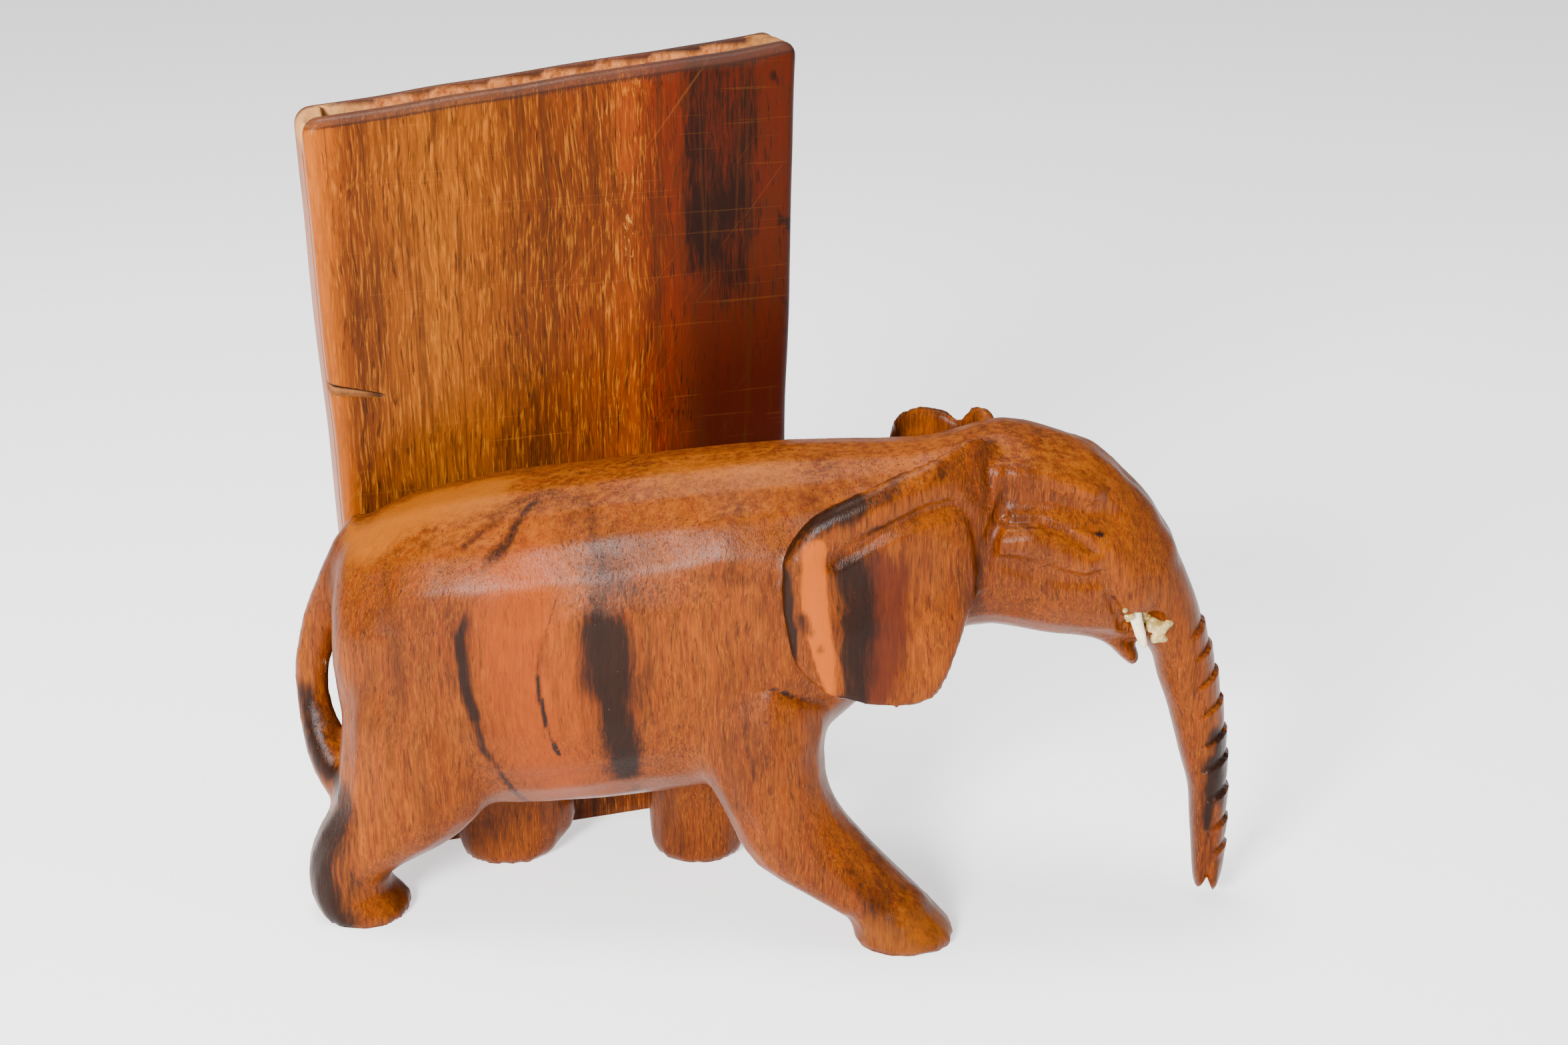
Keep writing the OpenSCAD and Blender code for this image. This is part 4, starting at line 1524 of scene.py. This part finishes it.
@dataclass
class TuskStub:
    """A broken tusk and the lumps of glue round its root.

    Attributes:
        side: -1 for the near side and 1 for the far side.
        name: Word that its nodes start with.
        stance: Where the elephant stands.
        skin: The elephant's surface.
        root: Middle of the tusk's root, in the elephant's frame.
        root_d: Width at the root, in millimetres.
        tip_d: Width at the broken end.
        stub: Length that shows.
        socket: Length in the head.
        lean_forward: Lean of the tusk forwards from straight down, in degrees.
        lean_out: Lean of the tusk outwards.
        lumps: x, z and radius of each lump of glue, in millimetres.
        glue_voxel: Size of the glue's cells, in metres.
    """

    side: int
    name: str
    stance: Stance
    skin: BVHTree
    root: tuple[float, float, float] = (79.0, 9.8, 70.6)
    root_d: float = 3.7
    tip_d: float = 1.7
    stub: float = 5.4
    socket: float = 7.0
    lean_forward: float = 18.0
    lean_out: float = 10.0
    lumps: tuple[tuple[float, float, float], ...] = (
        (81.0, 70.4, 1.5),
        (82.6, 69.6, 1.7),
        (84.4, 69.0, 1.6),
        (85.6, 70.2, 1.1),
        (83.2, 66.8, 1.3),
        (84.8, 66.6, 1.0),
        (80.4, 72.2, 1.1),
        (77.0, 73.0, 1.1),
        (76.0, 75.0, 0.8),
        (77.4, 70.8, 0.9),
    )
    glue_voxel: float = 0.00026

    def build(self) -> None:
        """Makes the stub and its glue."""
        self._stub()
        self._glue()

    def _axis(self) -> np.ndarray:
        """Direction from the root to the broken end.

        Returns:
            A unit vector in the elephant's frame.
        """
        forward, out = math.radians(self.lean_forward), math.radians(self.lean_out)
        down = math.cos(out) * math.cos(forward)
        return np.array([math.cos(out) * math.sin(forward), self.side * math.sin(out), -down])

    def _stub(self) -> None:
        """A tapered, chipped stub whose broken end slants."""
        shape = bmesh.new()
        length = self.stub + self.socket
        bmesh.ops.create_cone(
            shape,
            cap_ends=True,
            cap_tris=False,
            segments=28,
            radius1=self.root_d / 2,
            radius2=self.tip_d / 2,
            depth=length,
        )
        bmesh.ops.translate(shape, verts=shape.verts[:], vec=(0.0, 0.0, length / 2 - self.socket))
        rings = 16
        for k in range(1, rings):
            place = (0, 0, -self.socket + length * k / rings)
            bmesh.ops.bisect_plane(shape, geom=everything(shape), plane_co=place, plane_no=(0, 0, 1))
        cut = bmesh.ops.bisect_plane(
            shape,
            geom=everything(shape),
            plane_co=(0.0, 0.0, self.stub - 0.9),
            plane_no=Vector((0.75, 0.1, 1.0)).normalized(),
            clear_outer=True,
        )
        rim = [e for e in cut["geom_cut"] if isinstance(e, bmesh.types.BMEdge)]
        filled = bmesh.ops.edgeloop_fill(shape, edges=rim)
        bmesh.ops.poke(shape, faces=filled["faces"])
        for vertex in shape.verts:
            point = vertex.co.copy()
            wave = noise.noise(point * 0.9 + Vector((4.0, 0.0, self.side))) * 0.16
            if point.length > 0.01:
                vertex.co += Vector((point.x, point.y, 0.0)).normalized() * wave
            if point.z > self.stub - 2.2:
                vertex.co.z += noise.noise(point * 2.3) * 0.35
        self._turn(shape)
        title = self.name + "_tusk_stub"
        seat(new_object(title, mesh_of(title, shape)), Bone().material(), self.name + "_tusk")

    def _turn(self, shape: Shape) -> None:
        """Turns a shape that was made along +z to the tusk's axis and puts it in its socket.

        Args:
            shape: The shape, with the tusk's root at its origin.
        """
        axis = self._axis()
        turn = Vector((0.0, 0.0, 1.0)).rotation_difference(Vector(axis)).to_matrix()
        root = np.array([self.root[0], self.side * self.root[1], self.root[2]])
        for vertex in shape.verts:
            vertex.co = Vector(self.stance.to_part(np.array(turn @ vertex.co) + root))

    def _on_skin(self, x: float, z: float) -> np.ndarray:
        """The point of the cheek at x and z.

        Args:
            x: Place along the elephant, in millimetres.
            z: Height, in millimetres.

        Returns:
            The point in the elephant's frame.
        """
        start = self.stance.to_part(np.array([x, self.side * 30.0, z]))
        along = self.stance.to_part(np.array([x, 0.0, z])) - start
        hit = self.skin.ray_cast(Vector(start), Vector(along).normalized())[0]
        if hit is None:
            return np.array([x, self.side * 6.0, z])
        return self.stance.to_elephant(np.array(hit))

    def _glue(self) -> None:
        """Lumps of glue that have run together, mostly in front of the tusk."""
        shape = bmesh.new()
        for x, z, radius in self.lumps:
            centre = self._on_skin(x, z)
            ball = bmesh.ops.create_icosphere(shape, subdivisions=3, radius=radius * MM)
            bmesh.ops.scale(shape, verts=ball["verts"], vec=(1.0, 0.75, 1.0))
            bmesh.ops.translate(shape, verts=ball["verts"], vec=self.stance.to_part(centre))
        mesh = remeshed(mesh_of("lumps", shape), self.glue_voxel)
        clay = Clay(mesh, self.stance)
        clay.points += 0.5 * clay.drift()
        normals = clay.normals()
        wave = noise_at(clay.points, 0.8, 2.0 + self.side) * 0.34 + noise_at(clay.points, 2.2, 7.0) * 0.12
        clay.points += normals * wave[:, None]
        clay.points[:] = self._inside_box(clay.points)
        clay.store()
        lumps = new_object(self.name + "_glue_lumps", mesh)
        seat(lumps, OldGlue().material(), self.name + "_tusk_glue")

    def _inside_box(self, points: np.ndarray) -> np.ndarray:
        """Keeps the glue inside the CAD part's box.

        Args:
            points: Places in the elephant's frame.

        Returns:
            The places, moved where they were outside.
        """
        margin = 0.1 * MM
        low, high = np.array(CAD_BOX[0]) + margin, np.array(CAD_BOX[1]) - margin
        return self.stance.to_elephant(np.clip(self.stance.to_part(points), low, high))


# ---------------------------------------------------------------- the board


@dataclass
class Board:
    """The upright board of two leaves, with a chiselled slot between them.

    Attributes:
        foot_inset: How far the foot is set in on each side.
        left_drop: How much lower the left corner is than the right one.
        corner: Radius of the top corners.
        arris: Radius of the rounded long edges.
        lip: Radius of the top edges on the slot's side.
        slot_width: Width of the slot.
        end_wall: Width of the wall at each end of the slot.
        slot_depth: Depth of the slot.
        cell: Size of the leaves' cells.
    """

    foot_inset: float = 5.0 * MM
    left_drop: float = 11.0 * MM
    corner: float = 3.6 * MM
    arris: float = 2.2 * MM
    lip: float = 1.3 * MM
    slot_width: float = 10.2 * MM
    end_wall: float = 5.5 * MM
    slot_depth: float = 80.0 * MM
    cell: float = 2.1 * MM

    def __post_init__(self) -> None:
        """Takes the leaves' places from the frame."""
        (self.x0, self.y0, _), (self.x1, self.y1, self.top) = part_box("front_leaf")
        self.y2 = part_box("back_leaf")[1].y

    def build(self) -> None:
        """Makes both leaves."""
        self._front_leaf()
        self._back_leaf()

    def _block(self, y_low: float, y_high: float) -> Shape:
        """A block with the board's outline and rounded top corners.

        Args:
            y_low: y of its front face.
            y_high: y of its back face.

        Returns:
            The block.
        """
        shape = bmesh.new()
        bmesh.ops.create_cube(shape, size=1.0)
        for vertex in shape.verts:
            right, back, high = vertex.co.x > 0, vertex.co.y > 0, vertex.co.z > 0
            x = self.x1 if right else self.x0
            if not high:
                x += -self.foot_inset if right else self.foot_inset
            z = 0.0 if not high else (self.top + 0.35 * MM if right else self.top - self.left_drop)
            vertex.co = (x, y_high if back else y_low, z)
        upper = [e for e in shape.edges if min(v.co.z for v in e.verts) > self.top / 2]
        corners = [e for e in upper if abs(e.verts[0].co.x - e.verts[1].co.x) < TOUCH]
        bevelled(shape, corners, self.corner, 6)
        return shape

    def _round(self, shape: Shape, y: float, offset: float, only_top: bool) -> None:
        """Rounds the rim at y.

        Args:
            shape: The block.
            y: The face whose rim is rounded.
            offset: Width of the rounding.
            only_top: Whether the sides stay sharp.
        """
        rim = []
        for edge in shape.edges:
            if any(abs(v.co.y - y) > TOUCH for v in edge.verts) or len(edge.link_faces) != 2:
                continue
            if max(v.co.z for v in edge.verts) < TOUCH:
                continue
            if only_top and min(v.co.z for v in edge.verts) < self.top - 20 * MM:
                continue
            rim.append(edge)
        bevelled(shape, rim, offset, 5)

    def _slice(self, shape: Shape, cuts: Sequence[tuple[int, float, float, float]]) -> None:
        """Cuts the block into cells.

        Args:
            shape: The block.
            cuts: Axis, first place, last place and spacing of each run of cuts.
        """
        for axis, start, stop, spacing in cuts:
            normal = Vector([1.0 if k == axis else 0.0 for k in range(3)])
            count = max(int((stop - start) / spacing), 1)
            for k in range(count + 1):
                place = normal * (start + (stop - start) * k / count)
                bmesh.ops.bisect_plane(
                    shape, geom=everything(shape), plane_co=place, plane_no=normal, dist=1e-7
                )

    def _top_at(self, x: np.ndarray) -> np.ndarray:
        """Height of the top edge at x."""
        return self.top - self.left_drop * (self.x1 - x) / (self.x1 - self.x0)

    def _wave(self, points: np.ndarray, is_front: bool) -> np.ndarray:
        """Uneven hand-planed faces and edges.

        Args:
            points: The leaf's points, in metres.
            is_front: Whether it is the front leaf, whose outer face is at y0.

        Returns:
            The moved points.
        """
        x, y, z = points.T
        moved = points.copy()
        millimetres = points / MM
        outer_face, inward = (self.y0, 1.0) if is_front else (self.y2, -1.0)
        planed = noise_at(millimetres * np.array([1.0, 0.0, 0.35]), 0.05, 11.0) * 0.22 + 0.22
        outer = smoothed_step(np.abs(y - outer_face), 3.0 * MM, 0.2 * MM)
        moved[:, 1] += inward * planed * outer * MM
        top = self._top_at(x)
        dip = noise_at(millimetres * np.array([1.0, 0.3, 0.0]), 0.06, 21.0) * 0.35 + 0.35
        moved[:, 2] -= dip * smoothed_step(z, top - 9 * MM, top) * MM
        towards = np.where(x < (self.x0 + self.x1) / 2, 1.0, -1.0)
        reach = smoothed_step(np.minimum(x - self.x0, self.x1 - x), 14 * MM, 0.0)
        worn = noise_at(millimetres * np.array([0.0, 0.3, 1.0]), 0.045, 31.0) * 0.35 + 0.3
        moved[:, 0] += towards * worn * reach * MM
        return moved

    def _masks(self, mesh: Mesh, points: np.ndarray, bare: np.ndarray, crack: np.ndarray) -> None:
        """Stores the masks that the board's wood reads.

        Args:
            mesh: The leaf.
            points: Its points before they were waved, in metres.
            bare: Mask of the bare wood.
            crack: Mask of the cracks.
        """
        below = self._top_at(points[:, 0]) - points[:, 2]
        rim = smoothed_step(below, 2.6 * MM, 1.0 * MM)
        left = points[:, 0] - self.x0 - self.foot_inset * (1.0 - points[:, 2] / self.top)
        arris = smoothed_step(left, 4.6 * MM, 1.6 * MM) * (1.0 - rim)
        coated = 1.0 - bare
        masks = {"rim": rim * coated, "arris": arris * coated, "bare": bare, "crack": crack}
        for name, values in masks.items():
            put_mask(mesh, name, values)

    def _front_leaf(self) -> None:
        """The thin leaf, with a saw scar across its left edge."""
        shape = self._block(self.y0, self.y1)
        self._round(shape, self.y0, self.arris, False)
        self._round(shape, self.y1, self.lip, True)
        left = self.x0 + 1.7 * MM
        self._slice(
            shape,
            (
                (0, self.x0 + 4 * MM, self.x1 - 4 * MM, self.cell),
                (2, 2 * MM, self.top - 3 * MM, self.cell),
                (0, left, left + 13 * MM, 0.7 * MM),
                (2, 107.6 * MM, 115.6 * MM, 0.32 * MM),
            ),
        )
        mesh = mesh_of("front_leaf_board", ordered(shape))
        points = points_of(mesh)
        moved = self._wave(points, True)
        u = (points[:, 0] - left) / (12.0 * MM)
        middle = (112.8 - 2.4 * u) * MM
        width = (1.0 - 0.66 * np.clip(u, 0.0, 1.0)) * 1.5 * MM
        jag = noise_at(points / MM, 1.3, 8.0) * 0.22 * MM
        along = (u > -0.4) * smoothed_step(u, 1.03, 0.9)
        scar = np.clip(1.0 - np.abs(points[:, 2] - middle + jag) / width, 0.0, 1.0) * along
        front = smoothed_step(points[:, 1], self.y0 + 3.6 * MM, self.y0 + 1.4 * MM)
        depth = smoothed_step(scar, 0.0, 0.7) * front
        moved[:, 1] += depth * (2.0 - 1.2 * np.clip(u, 0.0, 1.0)) * MM
        moved[:, 0] += depth * smoothed_step(u, 0.1, -0.1) * 1.1 * MM
        put_points(mesh, moved)
        torn = smoothed_step(scar, 0.05, 0.35) * front
        upper = smoothed_step(points[:, 2], middle + 0.1 * MM, middle + 0.5 * MM)
        upper += smoothed_step(u, 0.5, 0.9) * 0.6
        self._masks(mesh, points, torn * 0.9, torn * np.clip(upper, 0.0, 1.0))
        piece = new_object("front_leaf_board", mesh)
        wood = BoardWood("front_leaf_wood", self.x0, self.x1 - self.x0, True)
        seat(piece, wood.material(), "front_leaf")

    def _back_leaf(self) -> None:
        """The thick leaf, with the slot hollowed out of its inner face."""
        shape = self._block(self.y1, self.y2)
        self._round(shape, self.y2, self.arris, False)
        self._slice(
            shape,
            (
                (0, self.x0 + 4 * MM, self.x1 - 4 * MM, self.cell * 1.5),
                (2, 3 * MM, self.top - 3 * MM, self.cell * 1.5),
                (1, self.y1 + 3 * MM, self.y2 - 3 * MM, 2.8 * MM),
            ),
        )
        blank = mesh_of("back_blank", ordered(shape))
        put_points(blank, self._wave(points_of(blank), False))
        piece = new_object("back_leaf_blank", blank)
        cutters = [self._core(), self._hollow_end(), self._notch()]
        for cutter in cutters:
            modifier = piece.modifiers.new("slot", "BOOLEAN")
            modifier.operation = "DIFFERENCE"
            modifier.solver = "EXACT"
            modifier.object = cutter
        mesh = applied(piece)
        for cutter in cutters:
            bpy.data.objects.remove(cutter)
        points = points_of(mesh)
        bare = self._is_bare(points)
        self._masks(mesh, points, bare, np.zeros(len(points)))
        piece = new_object("back_leaf_board", mesh)
        wood = BoardWood("back_leaf_wood", self.x0, self.x1 - self.x0, False)
        seat(piece, wood.material(), "back_leaf")

    def _is_bare(self, points: np.ndarray) -> np.ndarray:
        """1 on the slot's walls and floor, and less on the cut ends.

        Args:
            points: The back leaf's points, in metres.

        Returns:
            The mask, from 0 to 1.
        """
        x, y, z = points.T
        top = self._top_at(x)
        left, right = self.x0 + self.end_wall, self.x1 - self.end_wall
        wall = self.y1 + self.slot_width
        in_slot = (x > left - 1.2 * MM) & (x < right + 1.2 * MM)
        in_slot &= (y > self.y1 + 0.01 * MM) & (y < wall + 1.1 * MM)
        in_slot &= (z < top - 1.0 * MM) & (z > self.top - self.slot_depth - 14 * MM)
        ends = (x < left + 2 * MM) | (x > right - 2 * MM)
        ends &= (y > self.y1 - 0.01 * MM) & (y < wall + 0.4 * MM) & (z > top - 5 * MM)
        return np.maximum(in_slot.astype(float), ends * 0.85)

    def _core(self) -> Thing:
        """The rough core that cuts the slot, faceted by a chisel.

        Returns:
            The cutter.
        """
        low = self.top - self.left_drop / 2 - self.slot_depth
        inset = self.foot_inset * (1.0 - low / self.top) + self.end_wall
        shape = bmesh.new()
        bmesh.ops.create_cube(shape, size=1.0)
        for vertex in shape.verts:
            high = vertex.co.z > 0
            margin = self.end_wall if high else inset
            x = self.x1 - margin if vertex.co.x > 0 else self.x0 + margin
            y = self.y1 + self.slot_width if vertex.co.y > 0 else self.y1 - 1.0 * MM
            vertex.co = (x, y, self.top + 3 * MM if high else low)
        lower = [e for e in shape.edges if all(abs(v.co.z - low) < TOUCH for v in e.verts)]
        bevelled(shape, [e for e in lower if abs(e.verts[0].co.x - e.verts[1].co.x) < TOUCH], 5 * MM, 5)
        self._slice(
            shape,
            (
                (0, self.x0 + self.end_wall + 1 * MM, self.x1 - self.end_wall - 1 * MM, 1.5 * MM),
                (2, low + 2 * MM, self.top - 16 * MM, 3.0 * MM),
                (2, self.top - 15 * MM, self.top + 2 * MM, 1.2 * MM),
                (1, self.y1 + 2 * MM, self.y1 + self.slot_width - 2 * MM, 2.0 * MM),
            ),
        )
        mesh = mesh_of("slot_core", ordered(shape))
        points = points_of(mesh)
        millimetres = points / MM
        chisel = np.round(noise_at(millimetres * np.array([0.5, 0.0, 0.16]), 0.5, 4.0) * 3.0) / 3.0
        rough = chisel * 0.55 + noise_at(millimetres, 0.35, 14.0) * 0.45
        wall = smoothed_step(points[:, 1], self.y1 + 7 * MM, self.y1 + self.slot_width)
        points[:, 1] += wall * (rough - 0.25) * MM
        sides = smoothed_step(np.minimum(points[:, 0] - self.x0, self.x1 - points[:, 0]), 12 * MM, 6 * MM)
        points[:, 0] += sides * noise_at(millimetres, 0.3, 24.0) * 0.8 * MM
        put_points(mesh, points)
        return new_object("slot_core", mesh)

    def _hollow_end(self) -> Thing:
        """A shallow scoop over the wall at the slot's left end.

        Returns:
            The cutter.
        """
        shape = bmesh.new()
        bmesh.ops.create_icosphere(shape, subdivisions=4, radius=1.0)
        bmesh.ops.scale(shape, verts=shape.verts[:], vec=(9.5 * MM, 8.6 * MM, 3.4 * MM))
        centre = Vector((self.x0 + 7.5 * MM, self.y1 + 0.8 * MM, self.top - self.left_drop + 1.2 * MM))
        bmesh.ops.translate(shape, verts=shape.verts[:], vec=centre)
        return new_object("scoop", mesh_of("scoop", ordered(shape)))

    def _notch(self) -> Thing:
        """A narrow groove that runs out through the wall at the slot's right end.

        Returns:
            The cutter.
        """
        shape = bmesh.new()
        bmesh.ops.create_cone(
            shape, cap_ends=True, segments=4, radius1=2.6 * MM, radius2=2.9 * MM, depth=16 * MM
        )
        lying = Matrix.Rotation(math.radians(90), 3, "Y")
        bmesh.ops.rotate(shape, verts=shape.verts[:], cent=(0, 0, 0), matrix=lying)
        bmesh.ops.subdivide_edges(shape, edges=shape.edges[:], cuts=5, use_grid_fill=True)
        for vertex in shape.verts:
            vertex.co += Vector(noise.noise_vector(vertex.co * 450.0)) * 0.35 * MM
        centre = Vector((self.x1 - 3 * MM, self.y1 + self.slot_width - 2.0 * MM, self.top - 0.2 * MM))
        bmesh.ops.translate(shape, verts=shape.verts[:], vec=centre)
        return new_object("end_notch", mesh_of("end_notch", ordered(shape)))


# ---------------------------------------------------------------- the studio


@dataclass
class Studio:
    """Paper, soft lights and the camera.

    Attributes:
        hip_place: Where the elephant's hip meets the board, in the part's frame.
        stand: Where the camera stands, in metres from the hip's place on the floor.
        heading: Degrees from +y towards +x that it looks along.
        pitch: Degrees that it looks down.
        lens: Focal length in millimetres on a 36 mm sensor.
    """

    hip_place: tuple[float, float]
    stand: Point = (-0.0731, -0.4532, 0.2536)
    heading: float = 18.6
    pitch: float = 21.0
    lens: float = 50.0

    def build(self) -> None:
        """Sets up everything that isn't the object."""
        self._camera()
        self._paper()
        self._lights()

    def _camera(self) -> None:
        """The camera at the viewing angle."""
        data = bpy.data.cameras.new("camera")
        data.lens = self.lens
        data.sensor_width = 36.0
        data.clip_start = 0.01
        camera = bpy.data.objects.new("camera", data)
        bpy.context.scene.collection.objects.link(camera)
        heading, pitch = math.radians(self.heading), math.radians(self.pitch)
        level = Vector((math.sin(heading), math.cos(heading), 0.0)) * math.cos(pitch)
        look = level - Vector((0.0, 0.0, math.sin(pitch)))
        camera.rotation_euler = look.to_track_quat("-Z", "Y").to_euler()
        camera.location = Vector((*self.hip_place, 0.0)) + Vector(self.stand)
        bpy.context.scene.camera = camera

    def _paper(self) -> None:
        """A sheet of white paper."""
        shape = bmesh.new()
        bmesh.ops.create_grid(shape, x_segments=2, y_segments=2, size=20.0)
        floor = new_object("paper", mesh_of("paper", shape))
        floor.data.materials.append(StudioPaper().material())

    def _lights(self) -> None:
        """A pale room, a softbox at the upper left, one overhead and a weak fill."""
        world = bpy.data.worlds.new("room")
        world.use_nodes = True
        sky = world.node_tree.nodes["Background"]
        sky.inputs["Color"].default_value = (1.0, 1.0, 1.0, 1.0)
        sky.inputs["Strength"].default_value = 0.42
        bpy.context.scene.world = world
        self._softbox("key", (-0.64, -0.66, 0.44), (0.0, 0.0, 0.07), 0.26, 30.0)
        self._softbox("overhead", (-0.10, 0.10, 1.05), (0.0, 0.0, 0.05), 0.40, 12.0)
        self._softbox("fill", (0.85, -0.65, 0.60), (0.0, 0.0, 0.06), 0.8, 2.5)

    @staticmethod
    def _softbox(name: str, place: Point, target: Point, size: float, power: float) -> None:
        """One square area light.

        Args:
            name: Its name.
            place: Where it hangs.
            target: What it is turned to.
            size: Length of its side, in metres.
            power: Its power, in watts.
        """
        data = bpy.data.lights.new(name, "AREA")
        data.size = size
        data.energy = power
        light = bpy.data.objects.new(name, data)
        light.location = place
        light.rotation_euler = (Vector(target) - Vector(place)).to_track_quat("-Z", "Y").to_euler()
        bpy.context.scene.collection.objects.link(light)


# ---------------------------------------------------------------- assembly


def dress_dowels() -> None:
    """Gives the hidden dowels, whose shape is right, their wood."""
    pale = PaleDowel().material()
    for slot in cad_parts["hip_dowels"].material_slots:
        slot.material = pale
    log.info("hip_dowels keep their shape")


def main() -> None:
    """Builds the whole scene, piece by piece."""
    logging.basicConfig(level=logging.INFO, format="%(message)s")
    low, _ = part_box("front_leaf")
    hip_from_left = 25.0 * MM
    stance = Stance(turn=math.radians(22.0), hip=(-72.0, 16.4), hip_place=(low.x + hip_from_left, low.y))
    Studio(stance.hip_place).build()
    Board().build()
    elephant = Elephant(stance, front_face=low.y)
    elephant.build()
    skin = elephant.surface()
    for side, name in ((-1, "near"), (1, "far")):
        TuskStub(side, name, stance, skin).build()
    dress_dowels()


if __name__ == "__main__":
    main()
